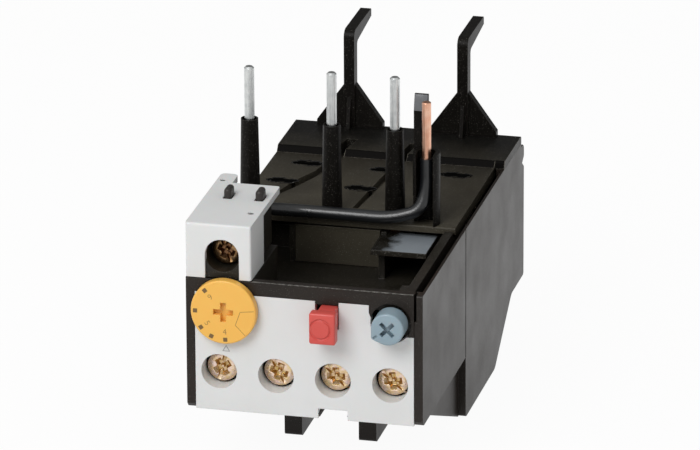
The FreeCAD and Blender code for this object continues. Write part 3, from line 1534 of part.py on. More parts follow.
def pole_pin(index):
    """Tinned pole pin that plugs into the contactor, chamfered at its tip."""
    centre = (PINS[index], PIN_Y)
    free = rod("z", centre, PIN_R, SLEEVE_TOP, PIN_TOP)
    shank = rod("z", centre, PIN_SHANK_R, DECK_LOW - GAP - LINE_BAR_T, SLEEVE_TOP + 0.1)
    pin = join([free, shank])
    crown = [edge for edge in pin.Edges if edge.BoundBox.ZMin > PIN_TOP - 0.01]
    return pin.makeChamfer(0.3, crown)


def line_bar(index):
    """Conductor from a pole pin, back under the deck to its pole and down to the heater."""
    x = PINS[index]
    pole = POLES[index]
    high = DECK_LOW - GAP
    low = high - LINE_BAR_T
    half = LINE_BAR_W / 2.0
    inside = max(x, -INNER_HALF + GAP + half)
    leg = STRIP_Y + STRIP_W / 2.0 + 4.0
    run = prism(
        "z",
        [
            (inside - half, PIN_Y - 1.6),
            (inside + half, PIN_Y - 1.6),
            (inside + half, 47.5),
            (pole + half, 58.0),
            (pole + half, leg),
            (pole - half, leg),
            (pole - half, 58.0),
            (inside - half, 47.5),
        ],
        low,
        high,
    )
    drop = block((pole - half, pole + half), (leg - LINE_BAR_T, leg), (1.4, high))
    tab = block((pole - half, pole + half), (STRIP_Y + STRIP_W / 2.0 + 1.9, leg), (1.4, 2.4))
    bar = join([run, drop, tab])
    return bar.cut(rod("z", (x, PIN_Y), PIN_SHANK_R + FIT, low - 1.0, high + 1.0))


def bimetal_strip(index):
    """Bimetal strip with a rolled foot that stands on the load bar."""
    x = POLES[index]
    y = (STRIP_Y - STRIP_W / 2.0, STRIP_Y + STRIP_W / 2.0)
    strip = block((x - STRIP_T / 2.0, x + STRIP_T / 2.0), y, (STRIP_ROOT, STRIP_TOP))
    foot = rod("y", (x, STRIP_ROOT), 1.2, y[0], y[1])
    return join([strip, foot])


def heater_winding(index):
    """Insulating sleeve with six turns of heater ribbon round the strip."""
    x = POLES[index]
    half_y = STRIP_W / 2.0
    sleeve = soft_block(
        "z", (x - 1.2, x + 1.2), (STRIP_Y - half_y - 0.7, STRIP_Y + half_y + 0.7), (2.2, 13.8), 0.5
    )
    turns = []
    for turn in range(6):
        low = 2.8 + turn * 1.75
        turns.append(
            soft_block(
                "z",
                (x - 1.8, x + 1.8),
                (STRIP_Y - half_y - 1.2, STRIP_Y + half_y + 1.2),
                (low, low + 1.1),
                0.8,
            )
        )
    lead = block((x - 0.6, x + 0.6), (STRIP_Y - half_y - 1.2, STRIP_Y - half_y - 0.6), (2.8, 12.6))
    winding = join([sleeve, lead] + turns)
    bore = block(
        (x - STRIP_T / 2.0 - 0.02, x + STRIP_T / 2.0 + 0.02),
        (STRIP_Y - half_y - 0.02, STRIP_Y + half_y + 0.02),
        (0.0, 16.0),
    )
    return winding.cut(bore)


# ---------------------------------------------------------------- trip mechanism


def trip_slide():
    """Bar over the strips with one post beside each strip."""
    y = (STRIP_Y - STRIP_W / 2.0, STRIP_Y + STRIP_W / 2.0)
    face = STRIP_T / 2.0 + GAP
    ends = (POLES[0] - 2.0, POLES[2] + face + POST_T)
    bar = soft_block("z", ends, y, (SLIDE_LOW, SLIDE_HIGH), 0.5)
    posts = [
        block((x + face, x + face + POST_T), (y[0] + 0.8, y[1] - 0.8), (POST_LOW, SLIDE_LOW + 0.1)) for x in POLES
    ]
    windows = [
        soft_block(
            "z",
            (x + 4.2, x + 8.6),
            (STRIP_Y - 1.6, STRIP_Y + 1.6),
            (SLIDE_LOW - 1.0, SLIDE_HIGH + 1.0),
            1.2,
        )
        for x in POLES[:2]
    ]
    return drill(join([bar] + posts), windows)


def trip_lever():
    """Upright shaft with an upper arm at the slide and a lower arm that carries the compensating strip."""
    slide_end = POLES[2] + STRIP_T / 2.0 + GAP + POST_T
    tip = slide_end + GAP
    shaft = tube(
        "z", (LEVER_X, LEVER_Y), LEVER_SHAFT_R + 0.8, LEVER_SHAFT_R - 0.6 + FIT, LEVER_ARM_LOW, SLIDE_HIGH
    )
    upper = prism(
        "z",
        [
            (LEVER_X - 1.3, LEVER_Y, 0.4),
            (LEVER_X + 1.8, LEVER_Y, 0.4),
            (tip + 1.3, STRIP_Y - 3.6),
            (tip + 1.3, STRIP_Y + 1.6, 0.5),
            (tip, STRIP_Y + 1.6, 0.5),
            (tip, STRIP_Y - 3.2),
        ],
        SLIDE_LOW,
        SLIDE_HIGH,
    )
    lower = prism(
        "z",
        [
            (LEVER_X - 1.4, LEVER_Y + 0.2),
            (LEVER_X - 1.4, LEVER_Y - 5.0, 0.4),
            (LEVER_X + 1.4, LEVER_Y - 5.0, 0.4),
            (LEVER_X + 1.4, LEVER_Y + 0.2),
        ],
        LEVER_ARM_LOW,
        LEVER_ARM_HIGH,
    )
    lever = join([shaft, upper, lower])
    bore = rod("z", (LEVER_X, LEVER_Y), LEVER_SHAFT_R - 0.6 + FIT, LEVER_ARM_LOW - 1.0, SLIDE_HIGH + 1.0)
    slit = block((LEVER_X - 0.42, LEVER_X + 0.42), (LEVER_Y - 6.0, LEVER_Y - 2.6), (0.0, 14.0))
    return drill(lever, [bore, slit])


def compensating_strip():
    """Bimetal strip in the lower arm's slit; its tip pushes the rocker."""
    y = (LEVER_TIP_Y - 0.8, LEVER_Y - 2.62)
    strip = block((LEVER_X - 0.4, LEVER_X + 0.4), y, (LEVER_ARM_LOW - 1.0, LEVER_ARM_HIGH + 1.0))
    tip = rod("z", (LEVER_X - 0.2, LEVER_TIP_Y), 0.8, LEVER_ARM_LOW - 1.0, LEVER_ARM_HIGH + 1.0)
    return join([strip, tip])


def trip_rocker():
    """Rocker on its pin: one arm under the trip lever's tip, one arm for each contact blade."""
    low = LEVER_ARM_LOW
    high = LEVER_ARM_HIGH
    face = LEVER_X - 1.0 - GAP
    hub = rod("z", (ROCKER_X, ROCKER_Y), ROCKER_HUB_R + 0.3, low, high)
    arm = prism(
        "z",
        [
            (ROCKER_X - 1.0, ROCKER_Y - 1.4),
            (ROCKER_X + 1.4, ROCKER_Y - 1.4),
            (face, LEVER_TIP_Y - 3.4, 0.4),
            (face, LEVER_TIP_Y + 1.4, 0.4),
            (face - 1.6, LEVER_TIP_Y + 1.4, 0.4),
            (face - 2.6, LEVER_TIP_Y - 1.2),
            (ROCKER_X - 1.0, ROCKER_Y + 1.6),
        ],
        low,
        high,
    )
    left = prism(
        "z",
        [
            (ROCKER_X, ROCKER_Y - 1.4),
            (ROCKER_X, ROCKER_Y + 1.4),
            (NO_CONTACT_X - 1.2, ROCKER_Y - 0.4, 0.4),
            (NO_CONTACT_X - 1.2, BLADE_Y + BLADE_T / 2.0),
            (NO_CONTACT_X + 1.2, BLADE_Y + BLADE_T / 2.0),
        ],
        low,
        high,
    )
    post_low = BLADE_LOW - 0.4
    post = rod("z", (BLADE_ROOT_X, BLADE_Y), 0.6, post_low, low + 0.1)
    bracket = block((BLADE_ROOT_X - 0.9, ROCKER_X + 1.0), (BLADE_Y - 0.7, ROCKER_Y), (low, high))
    hanger = block(
        (NO_CONTACT_X - 1.2, NO_CONTACT_X + 1.2), (BLADE_Y + BLADE_T / 2.0, ROCKER_Y - 1.6), (
            BLADE_LOW, low + 0.1
        )
    )
    rocker = join([hub, arm, left, post, bracket, hanger])
    return rocker.cut(rod("z", (ROCKER_X, ROCKER_Y), ROCKER_PIN_R + FIT, 0.0, 14.0))


def nc_contact_blade():
    """Blade that opens the normally-closed circuit, with an eye round its post."""
    eye = rod("z", (BLADE_ROOT_X, BLADE_Y), 1.1, BLADE_LOW, BLADE_HIGH)
    y = (BLADE_Y - BLADE_T / 2.0, BLADE_Y + BLADE_T / 2.0)
    strip = block((BLADE_ROOT_X, NC_CONTACT_X + 1.2), y, (BLADE_LOW, BLADE_HIGH))
    middle = (BLADE_LOW + BLADE_HIGH) / 2.0
    button = rod("y", (NC_CONTACT_X, middle), CONTACT_R, y[0] - CONTACT_T, y[0] + 0.1)
    blade = join([eye, strip, button])
    return blade.cut(rod("z", (BLADE_ROOT_X, BLADE_Y), 0.6 + FIT, BLADE_LOW - 1.0, BLADE_HIGH + 1.0))


def no_contact_blade():
    """Bridge of the normally-open circuit with two contact rivets."""
    y = (BLADE_Y - BLADE_T / 2.0, BLADE_Y + BLADE_T / 2.0)
    strip = block((NO_RIVET_X[0] - 1.2, NO_RIVET_X[1] + 1.2), y, (BLADE_LOW, BLADE_HIGH))
    middle = (BLADE_LOW + BLADE_HIGH) / 2.0
    rivets = [rod("y", (x, middle), CONTACT_R - 0.1, y[0] - CONTACT_T, y[0] + 0.1) for x in NO_RIVET_X]
    return join([strip] + rivets)


# ---------------------------------------------------------------- link wire


def wire_path(points):
    """Straight runs joined by tangent arcs as large as the runs allow, as one wire."""
    vectors = [FreeCAD.Vector(*p) for p in points]
    edges = []
    radii = []
    at = vectors[0]
    for before, corner, after in zip(vectors, vectors[1:], vectors[2:]):
        back = before - corner
        ahead = after - corner
        shorter = min(back.Length, ahead.Length)
        turn = math.pi - back.getAngle(ahead)
        radius = 0.45 * shorter / math.tan(turn / 2.0)
        radii.append(radius)
        reach = 0.45 * shorter
        back.normalize()
        ahead.normalize()
        start = corner + back * reach
        end = corner + ahead * reach
        bisector = (back + ahead).normalize()
        middle = corner + bisector * (radius / math.cos(turn / 2.0) - radius)
        edges.append(Part.makeLine(at, start))
        edges.append(Part.Arc(start, middle, end).toShape())
        at = end
    edges.append(Part.makeLine(at, vectors[-1]))
    return Part.Wire(edges), radii


def swept(path, radius):
    """Round section swept along a path."""
    start = path.Edges[0].Vertexes[0].Point
    tangent = path.Edges[0].tangentAt(path.Edges[0].FirstParameter)
    circle = Part.Wire(Part.makeCircle(radius, start, tangent))
    return path.makePipeShell([circle], True, True)


def link_wire():
    """Insulation of the link wire and its copper core, which stands out of the top end."""
    path, radii = wire_path(WIRE_ROUTE)
    print("link wire: radii", [round(r, 1) for r in radii], "length", round(path.Length, 1))
    jacket = swept(path, WIRE_R)
    print("link wire: volume ratio", round(jacket.Volume / (math.pi * WIRE_R**2 * path.Length), 4))
    top = WIRE_ROUTE[-1]
    core = rod("z", (top[0], top[1]), CORE_R, top[2], CORE_TOP)
    crown = [edge for edge in core.Edges if edge.BoundBox.ZMin > CORE_TOP - 0.01]
    core = core.makeFillet(0.2, crown)
    return jacket, core


def wire_guide():
    """Guide for the link wire's upright end: a tube open at the front and a blade behind it."""
    centre = (GUIDE_X, GUIDE_Y)
    outer = tube("z", centre, GUIDE_R, GUIDE_BORE_R, DECK_TOP, GUIDE_TOP)
    mouth = block(
        (GUIDE_X - GUIDE_BORE_R + 0.1, GUIDE_X + GUIDE_BORE_R - 0.1),
        (GUIDE_Y - GUIDE_R - 1.0, GUIDE_Y),
        (DECK_TOP - 1.0, GUIDE_TOP + 1.0),
    )
    side = block(
        (GUIDE_X - GUIDE_R - 1.0, GUIDE_X),
        (GUIDE_Y - GUIDE_R - 1.0, GUIDE_Y + 0.4),
        (DECK_TOP - 1.0, DECK_TOP + 5.6),
    )
    blade_left = GUIDE_X - GUIDE_R - 0.4
    blade = prism(
        "x",
        [
            (GUIDE_Y + GUIDE_R - 0.3, DECK_TOP),
            (GUIDE_Y + GUIDE_R - 0.3, BLADE_POST_TOP - 3.2),
            (GUIDE_Y + GUIDE_R + 0.5, BLADE_POST_TOP, 0.3),
            (GUIDE_Y + GUIDE_R - 0.3 + BLADE_POST_T, BLADE_POST_TOP, 0.3),
            (GUIDE_Y + GUIDE_R - 0.3 + BLADE_POST_T, DECK_TOP),
        ],
        blade_left,
        blade_left + BLADE_POST_W,
    )
    bracket = block(
        (blade_left, GUIDE_X), (GUIDE_Y + GUIDE_BORE_R, GUIDE_Y + GUIDE_R), (DECK_TOP, GUIDE_TOP - 0.6)
    )
    return join([drill(outer, [mouth, side]), blade, bracket])


# ---------------------------------------------------------------- export


def numbered(name, maker, count):
    """Dictionary of count sub-parts made by maker(index), named name_1, name_2 and so on."""
    return {f"{name}_{index + 1}": maker(index) for index in range(count)}


def sub_parts():
    """All sub-parts by node name."""
    nc_bars, no_bars = fixed_contact_bars()
    jacket, core = link_wire()
    parts = {
        "base_housing": base_housing(),
        "top_cover": top_cover(),
        "recess_liner": recess_liner(),
        "front_plate": front_plate(),
        "front_bezel": front_bezel(),
        "contact_carrier": contact_carrier(),
        "mounting_hooks": mounting_hooks(),
        "wire_guide": wire_guide(),
        "pin_sleeves": pin_sleeves(),
        "load_bars": load_bars(),
        "terminal_cover": terminal_cover(),
        "coil_terminal_block": coil_terminal_block(),
        "coil_terminal_bar": coil_terminal_bar(),
        "coil_screw": coil_screw(),
        "coil_clamp": coil_clamp(),
        "link_wire": jacket,
        "link_wire_core": core,
        "nc_contact_bars": nc_bars,
        "no_contact_bars": no_bars,
        "setting_dial": setting_dial(),
        "setting_cam": setting_cam(),
        "setting_lever": setting_lever(),
        "test_button": test_button(),
        "test_plunger": test_plunger(),
        "reset_collar": reset_collar(),
        "reset_knob": reset_knob(),
        "trip_slide": trip_slide(),
        "trip_lever": trip_lever(),
        "compensating_strip": compensating_strip(),
        "trip_rocker": trip_rocker(),
        "nc_contact_blade": nc_contact_blade(),
        "no_contact_blade": no_contact_blade(),
    }
    parts.update(numbered("pole_pin", pole_pin, 3))
    parts.update(numbered("line_bar", line_bar, 3))
    parts.update(numbered("bimetal_strip", bimetal_strip, 3))
    parts.update(numbered("heater_winding", heater_winding, 3))
    parts.update(numbered("aux_screw", lambda index: aux_screw(AUX_X[index]), 4))
    parts.update(numbered("aux_clamp", lambda index: aux_clamp(AUX_X[index]), 4))
    parts.update(numbered("main_screw", lambda index: main_screw(POLES[index]), 3))
    parts.update(numbered("main_clamp", lambda index: main_clamp(POLES[index]), 3))
    return parts


def main():
    os.makedirs("parts", exist_ok=True)
    for name, shape in sub_parts().items():
        shape.translate(ORIGIN_SHIFT)
        if not shape.isValid():
            print("not valid:", name)
        shape.exportStep(f"parts/{name}.step")
        print(name, len(shape.Solids), round(shape.Volume, 1))


main()
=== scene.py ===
import logging
import math
from dataclasses import dataclass, field
from enum import Enum
from typing import Any, Callable, Sequence

import bpy
from mathutils import Matrix, Vector


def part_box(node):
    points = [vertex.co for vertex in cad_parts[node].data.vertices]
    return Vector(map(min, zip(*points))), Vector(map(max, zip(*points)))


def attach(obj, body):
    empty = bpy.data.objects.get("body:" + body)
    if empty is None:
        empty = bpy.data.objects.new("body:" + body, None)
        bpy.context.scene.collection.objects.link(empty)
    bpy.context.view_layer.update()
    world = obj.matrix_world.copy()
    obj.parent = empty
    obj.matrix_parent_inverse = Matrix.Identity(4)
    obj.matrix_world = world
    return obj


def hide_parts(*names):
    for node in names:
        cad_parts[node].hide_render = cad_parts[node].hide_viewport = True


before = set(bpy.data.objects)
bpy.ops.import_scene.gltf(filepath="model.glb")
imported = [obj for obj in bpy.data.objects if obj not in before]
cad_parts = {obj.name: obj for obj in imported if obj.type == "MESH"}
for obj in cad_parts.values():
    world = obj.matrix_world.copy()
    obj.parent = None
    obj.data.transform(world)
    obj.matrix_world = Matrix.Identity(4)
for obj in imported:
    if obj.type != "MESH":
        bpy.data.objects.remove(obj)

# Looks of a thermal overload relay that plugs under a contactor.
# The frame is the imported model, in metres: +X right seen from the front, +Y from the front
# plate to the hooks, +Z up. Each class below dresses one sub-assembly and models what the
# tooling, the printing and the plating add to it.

log = logging.getLogger("relay")
logging.basicConfig(level=logging.INFO, format="%(name)s: %(message)s")

Piece = bpy.types.Object
Tree = bpy.types.NodeTree
Socket = bpy.types.NodeSocket
Point = tuple[float, float, float]
Block = tuple[Point, Point]

MM = 0.001


class Axis(Enum):
    """Direction in which a pattern is drawn out, as by a die or a roll."""

    X = 0
    Y = 1
    Z = 2


# ------------------------------------------------------------------ colour and nodes

# the part of a noise's range where nearly all of its values lie
COMMON = (0.3, 0.7)
# lint and tool specks are about 0.1 mm across, and are drawn a little coarser so that they show
LINT = "#b9b4ab"
SPECK_MM = 0.16
# specks are the noise's rare peaks
SPECK_PEAKS = (0.72, 0.8)
# handling wears an edge in patches of about a millimetre, and the same lightening paints highlights
# along edges
WEAR_AND_GLINT_MM = 1.1
# cosine between the rounded and the true normal where an edge is lightened most, and where it's not
# lightened
WEAR_AND_GLINT_TURN = (0.8, 0.985)
# a face is level when its normal's Z is beyond this
LEVEL = 0.9


def linear(hex_colour: str) -> tuple[float, float, float, float]:
    """Turns an sRGB hex colour into linear light.

    Args:
        hex_colour: colour as "#rrggbb".

    Returns:
        Red, green, blue and an alpha of 1.
    """
    channels = [int(hex_colour[i:i + 2], 16) / 255.0 for i in (1, 3, 5)]
    r, g, b = (c / 12.92 if c <= 0.04045 else ((c + 0.055) / 1.055) ** 2.4 for c in channels)
    return r, g, b, 1.0


def add_node(
    tree: Tree, kind: str, inputs: dict[Any, Any] | None = None, **settings: Any
) -> bpy.types.Node:
    """Adds a shader node with its settings, values and links.

    Args:
        tree: the material's node tree.
        kind: the node's type, such as "ShaderNodeBump".
        inputs: socket name or index to a value or to the output socket linked there.
        settings: attributes of the node itself.

    Returns:
        The new node.
    """
    node = tree.nodes.new(kind)
    for name, value in settings.items():
        setattr(node, name, value)
    for name, value in (inputs or {}).items():
        if isinstance(value, Socket):
            tree.links.new(value, node.inputs[name])
        else:
            node.inputs[name].default_value = value
    return node


def new_material(name: str) -> tuple[bpy.types.Material, Tree, Socket]:
    """Starts a material with its surface output free.

    Args:
        name: the material's name.

    Returns:
        The material, its node tree and the output's surface socket.
    """
    material = bpy.data.materials.new(name)
    material.use_nodes = True
    tree = material.node_tree
    tree.nodes.clear()
    output = add_node(tree, "ShaderNodeOutputMaterial")
    return material, tree, output.inputs["Surface"]


def grain(tree: Tree, size_mm: Sequence[float], detail: float = 2.0) -> Socket:
    """Noise whose cells have a real size along each axis of the piece.

    Args:
        tree: the material's node tree.
        size_mm: cell size along X, Y and Z in millimetres.
        detail: octaves of finer noise.

    Returns:
        The noise's factor socket.
    """
    coords = add_node(tree, "ShaderNodeTexCoord")
    scale = tuple(1.0 / (size * MM) for size in size_mm)
    mapping = add_node(
        tree, "ShaderNodeMapping", {"Vector": coords.outputs["Object"], "Scale": scale}
    )
    values = {"Vector": mapping.outputs["Vector"], "Scale": 1.0, "Detail": detail}
    return add_node(tree, "ShaderNodeTexNoise", values).outputs["Fac"]


def laid_over(
    tree: Tree, under: Any, over: Any, pattern: Socket, low: float, high: float, most: float = 1.0
) -> Socket:
    """Lays one colour over another where a pattern runs high.

    Args:
        tree: the material's node tree.
        under: the colour below, or its socket.
        over: the colour on top.
        pattern: the socket that varies.
        low: the pattern's value where the top colour starts to show.
        high: its value where that colour shows most.
        most: how much it covers there.

    Returns:
        The mixed colour's socket.
    """
    cover = add_node(tree, "ShaderNodeMapRange", {0: pattern, 1: low, 2: high, 3: 0.0, 4: most})
    inputs = {0: cover.outputs[0], 6: under, 7: over}
    return add_node(tree, "ShaderNodeMix", inputs, data_type="RGBA").outputs[2]


# ------------------------------------------------------------------ finishes


@dataclass(frozen=True)
class MouldedPlastic:
    """Injection-moulded thermoplastic with a spark-eroded or polished tool surface.

    The eye sees a soft sheen, fine tool grain, faint flow clouds and lighter edges, partly worn and
    partly painted highlight. Real tool grain is about 0.05 mm, and grain_mm is coarser so that it
    shows.
    """

    name: str
    colour: str
    cloud: str
    wear_and_glint_colour: str
    roughness: float
    grain_mm: float = 0.22
    grain_depth_mm: float = 0.012
    edge_mm: float = 0.16
    wear_and_glint: float = 0.5
    cloud_mm: float = 9.0
    subsurface: float = 0.0
    subsurface_mm: float = 0.6
    dust: float = 0.0
    ior: float = 1.5
    # colour laid towards one end: painted shade on the deck, a painted reflection on the shelf
    far: str = ""
    along: Axis = Axis.Y
    near_mm: float = 0.0
    far_mm: float = 1.0

    def build(self) -> bpy.types.Material:
        """Makes the material.

        Returns:
            The material.
        """
        material, tree, surface = new_material(self.name)
        broad = grain(tree, (self.cloud_mm,) * 3, 3.0)
        tool = grain(tree, (self.grain_mm,) * 3, 1.0)
        soft = add_node(tree, "ShaderNodeBevel", {"Radius": self.edge_mm * MM}, samples=4)
        base = laid_over(tree, linear(self.colour), linear(self.cloud), broad, *COMMON)
        # painted light towards one end: shade on the deck, a reflection on the shelf
        if self.far:
            base = self.painted_light_fade(tree, base, broad)
        if self.dust:
            specks = grain(tree, (SPECK_MM,) * 3, 0.0)
            base = laid_over(tree, base, linear(LINT), specks, *SPECK_PEAKS, self.dust)
        # lighter edges: worn, and partly a painted highlight along them
        wear_and_glint_mix = {0: self.worn(tree, soft), 6: base, 7: linear(self.wear_and_glint_colour)}
        base = add_node(tree, "ShaderNodeMix", wear_and_glint_mix, data_type="RGBA").outputs[2]
        dull, low, high = self.roughness, *COMMON
        sheen = {0: broad, 1: low, 2: high, 3: dull - 0.04, 4: dull + 0.05}
        gloss = add_node(tree, "ShaderNodeMapRange", sheen)
        relief = {"Height": tool, "Strength": 0.6, "Distance": self.grain_depth_mm * MM}
        bump = add_node(tree, "ShaderNodeBump", {**relief, "Normal": soft.outputs["Normal"]})
        shader = add_node(
            tree, "ShaderNodeBsdfPrincipled",
            {
                "Base Color": base,
                "Roughness": gloss.outputs[0],
                "IOR": self.ior,
                "Normal": bump.outputs["Normal"],
                "Subsurface Weight": self.subsurface,
                "Subsurface Scale": self.subsurface_mm * MM,
            },
        )
        tree.links.new(shader.outputs["BSDF"], surface)
        return material

    def painted_light_fade(self, tree: Tree, base: Socket, broad: Socket) -> Socket:
        """Lays another colour towards one end: painted shade towards the hooks on the deck, a
        painted reflection on the shelf.

        Args:
            tree: the material's node tree.
            base: the colour so far.
            broad: the flow clouds, which make the fade's edge drift.

        Returns:
            The faded colour's socket.
        """
        coords = add_node(tree, "ShaderNodeTexCoord")
        place = add_node(tree, "ShaderNodeSeparateXYZ", {0: coords.outputs["Object"]})
        stray, low, high = self.cloud_mm * 0.4 * MM, *COMMON
        sway = {0: broad, 1: low, 2: high, 3: -stray, 4: stray}
        drift = add_node(tree, "ShaderNodeMapRange", sway)
        ends = {0: drift.outputs[0], 1: place.outputs[self.along.value]}
        moved = add_node(tree, "ShaderNodeMath", ends, operation="ADD").outputs[0]
        return laid_over(tree, base, linear(self.far), moved, self.near_mm * MM, self.far_mm * MM)

    def worn(self, tree: Tree, soft: bpy.types.Node) -> Socket:
        """Finds the lightened edges, worn and partly painted highlight, where the rounded normal
        leaves the true one.

        Args:
            tree: the material's node tree.
            soft: the node that rounds the normal.

        Returns:
            The share of lightening, worn and partly painted highlight.
        """
        flat = add_node(tree, "ShaderNodeNewGeometry")
        normals = {0: soft.outputs["Normal"], 1: flat.outputs["Normal"]}
        turned = add_node(tree, "ShaderNodeVectorMath", normals, operation="DOT_PRODUCT")
        worn, whole = WEAR_AND_GLINT_TURN
        turn = {0: turned.outputs["Value"], 1: worn, 2: whole, 3: self.wear_and_glint, 4: 0.0}
        edge = add_node(tree, "ShaderNodeMapRange", turn)
        patches = grain(tree, (WEAR_AND_GLINT_MM,) * 3)
        share = {0: patches, 1: 0.35, 2: 0.65, 3: 0.25, 4: 1.0}
        patchy = add_node(tree, "ShaderNodeMapRange", share)
        shares = {0: edge.outputs[0], 1: patchy.outputs[0]}
        return add_node(tree, "ShaderNodeMath", shares, operation="MULTIPLY").outputs[0]


@dataclass(frozen=True)
class PlatedMetal:
    """Plated or bare metal with draw marks along one direction.

    The eye sees long fine scratches, and on a chromated piece patches of gold, rose and pale. Real
    draw marks are about 0.02 mm wide, and line_mm is coarser so that they show.
    """

    name: str
    colour: str
    second: str
    third: str
    roughness: float
    along: Axis = Axis.Z
    line_mm: float = 0.06
    run_mm: float = 4.0
    patch_mm: float = 1.4
    depth_mm: float = 0.004
    edge_mm: float = 0.1

    def build(self) -> bpy.types.Material:
        """Makes the material.

        Returns:
            The material.
        """
        material, tree, surface = new_material(self.name)
        size = [self.line_mm] * 3
        size[self.along.value] = self.run_mm
        lines = grain(tree, size)
        patch = grain(tree, (self.patch_mm,) * 3)
        shade = laid_over(tree, linear(self.colour), linear(self.second), patch, 0.38, 0.62)
        shade = laid_over(tree, shade, linear(self.third), lines, 0.5, 0.75, 0.8)
        dull, low, high = self.roughness, *COMMON
        sheen = {0: lines, 1: low, 2: high, 3: dull - 0.07, 4: dull + 0.1}
        gloss = add_node(tree, "ShaderNodeMapRange", sheen)
        soft = add_node(tree, "ShaderNodeBevel", {"Radius": self.edge_mm * MM}, samples=4)
        relief = {"Height": lines, "Strength": 0.7, "Distance": self.depth_mm * MM}
        bump = add_node(tree, "ShaderNodeBump", {**relief, "Normal": soft.outputs["Normal"]})
        shader = add_node(
            tree, "ShaderNodeBsdfPrincipled",
            {
                "Base Color": shade,
                "Metallic": 1.0,
                "Roughness": gloss.outputs[0],
                "Normal": bump.outputs["Normal"],
            },
        )
        tree.links.new(shader.outputs["BSDF"], surface)
        return material


@dataclass(frozen=True)
class PrintedInk:
    """Pad-printed ink: thin, matt and a little uneven where the pad lifted.

    Real pinholes are about 0.05 mm, and dot_mm is coarser so that they show.
    """

    name: str
    colour: str
    thin: str
    dot_mm: float = 0.18

    def build(self) -> bpy.types.Material:
        """Makes the material.

        Returns:
            The material.
        """
        material, tree, surface = new_material(self.name)
        dots = grain(tree, (self.dot_mm,) * 3)
        shade = laid_over(tree, linear(self.colour), linear(self.thin), dots, 0.4, 0.7, 0.7)
        values = {"Base Color": shade, "Roughness": 0.62, "IOR": 1.5}
        shader = add_node(tree, "ShaderNodeBsdfPrincipled", values)
        tree.links.new(shader.outputs["BSDF"], surface)
        return material


@dataclass
class FinishRack:
    """The finishes of the relay by name, each made once."""

    made: dict[str, bpy.types.Material] = field(default_factory=dict)

    def get(self, finish: MouldedPlastic | PlatedMetal | PrintedInk) -> bpy.types.Material:
        """Gives the material of a finish, made when first asked for.

        Args:
            finish: the finish.

        Returns:
            Its material.
        """
        if finish.name not in self.made:
            self.made[finish.name] = finish.build()
        return self.made[finish.name]


RACK = FinishRack()

# glass-filled polyamide of the tub: spark-eroded sides that shine at a low angle
BLACK_POLYAMIDE = MouldedPlastic(
    "black_polyamide", "#1c1611", "#221c17", "#484037", 0.4, grain_mm=0.3, grain_depth_mm=0.008,
    wear_and_glint=0.5, dust=0.2, ior=1.36,
)
# recess and inner frame: same compound from a duller tool, with dust in the corners
DULL_POLYAMIDE = MouldedPlastic(
    "dull_polyamide", "#1a1712", "#221f18", "#4e4a42", 0.42, grain_mm=0.26, grain_depth_mm=0.012,
    edge_mm=0.2, wear_and_glint=0.6, cloud_mm=6.0, dust=0.3, ior=1.36,
)
# deck: warm grey, with painted shade darkening it towards the hooks and painted highlights along
# its edges
DECK_POLYAMIDE = MouldedPlastic(
    "deck_polyamide", "#38342b", "#433f35", "#837d70", 0.4, grain_mm=0.26, grain_depth_mm=0.012,
    edge_mm=0.11, wear_and_glint=0.8, cloud_mm=8.0, dust=0.3, ior=1.25,
    far="#0b0a08", near_mm=9.0, far_mm=33.0,
)
# slope up to the deck's rear: near black as painted shade, with a painted highlight line along its
# top
STEP_PAINTED_SHADE = MouldedPlastic(
    "step_painted_shade", "#090807", "#0e0c0a", "#a8a295", 0.55, grain_mm=0.3, grain_depth_mm=0.01,
    edge_mm=0.2, wear_and_glint=0.95, cloud_mm=6.0, ior=1.12,
)
# shelf in the recess: a pale painted reflection that fades into painted shade towards the middle
SHELF_PAINTED_SHEEN = MouldedPlastic(
    "shelf_painted_sheen", "#16140f", "#1b1915", "#8b8f90", 0.22, grain_depth_mm=0.002, wear_and_glint=0.3,
    dust=0.2, cloud_mm=2.2, far="#868d93", along=Axis.X, near_mm=8.4, far_mm=11.0,
)
# lead-in of the guide's blade: the same black moulding, coloured grey as a painted reflection
BLADE_PAINTED_SHEEN = MouldedPlastic(
    "blade_painted_sheen", "#6d6f72", "#5d5f62", "#8f9193", 0.25, grain_depth_mm=0.004, wear_and_glint=0.4,
    cloud_mm=1.5,
)
# flash on the parting line, thin and torn, black with pale specks painted on as glints
FLASH_PAINTED_GLINTS = MouldedPlastic(
    "flash_painted_glints", "#141210", "#d8d5cd", "#dedbd4", 0.25, grain_mm=0.3, grain_depth_mm=0.03,
    wear_and_glint=0.3, cloud_mm=0.7,
)
# torn lips of the deck's slots: near black as painted shade, lighter in specks along their torn
# edges
TORN_POLYAMIDE = MouldedPlastic(
    "torn_polyamide", "#070605", "#0d0b09", "#b5afa2", 0.24, grain_mm=0.25, grain_depth_mm=0.03,
    edge_mm=0.05, wear_and_glint=0.6, cloud_mm=0.9,
)
# floor of those slots: a near-black sheet as painted shade, standing in for their depth
SLOT_PAINTED_SHADE = MouldedPlastic(
    "slot_painted_shade", "#020202", "#040403", "#0c0b0a", 0.7, grain_mm=0.3, grain_depth_mm=0.02,
    wear_and_glint=0.1, ior=1.1,
)
# posts in the hood's roof, dark grey with lighter rounded edges, and the dark floors laid in its
# pits as painted shade
POST_POLYAMIDE = MouldedPlastic(
    "post_polyamide", "#2b2725", "#34302d", "#5e5955", 0.4, grain_mm=0.3, grain_depth_mm=0.01,
    edge_mm=0.3, wear_and_glint=0.6, cloud_mm=1.5, ior=1.4,
)
# hooks, sleeves and wire guide: denser black with a moulded gloss
HOOK_POLYAMIDE = MouldedPlastic(
    "hook_polyamide", "#0c0a08", "#12100d", "#4c473f", 0.4, grain_mm=0.35, grain_depth_mm=0.01,
    edge_mm=0.14, wear_and_glint=0.55, dust=0.2, ior=1.2,
)
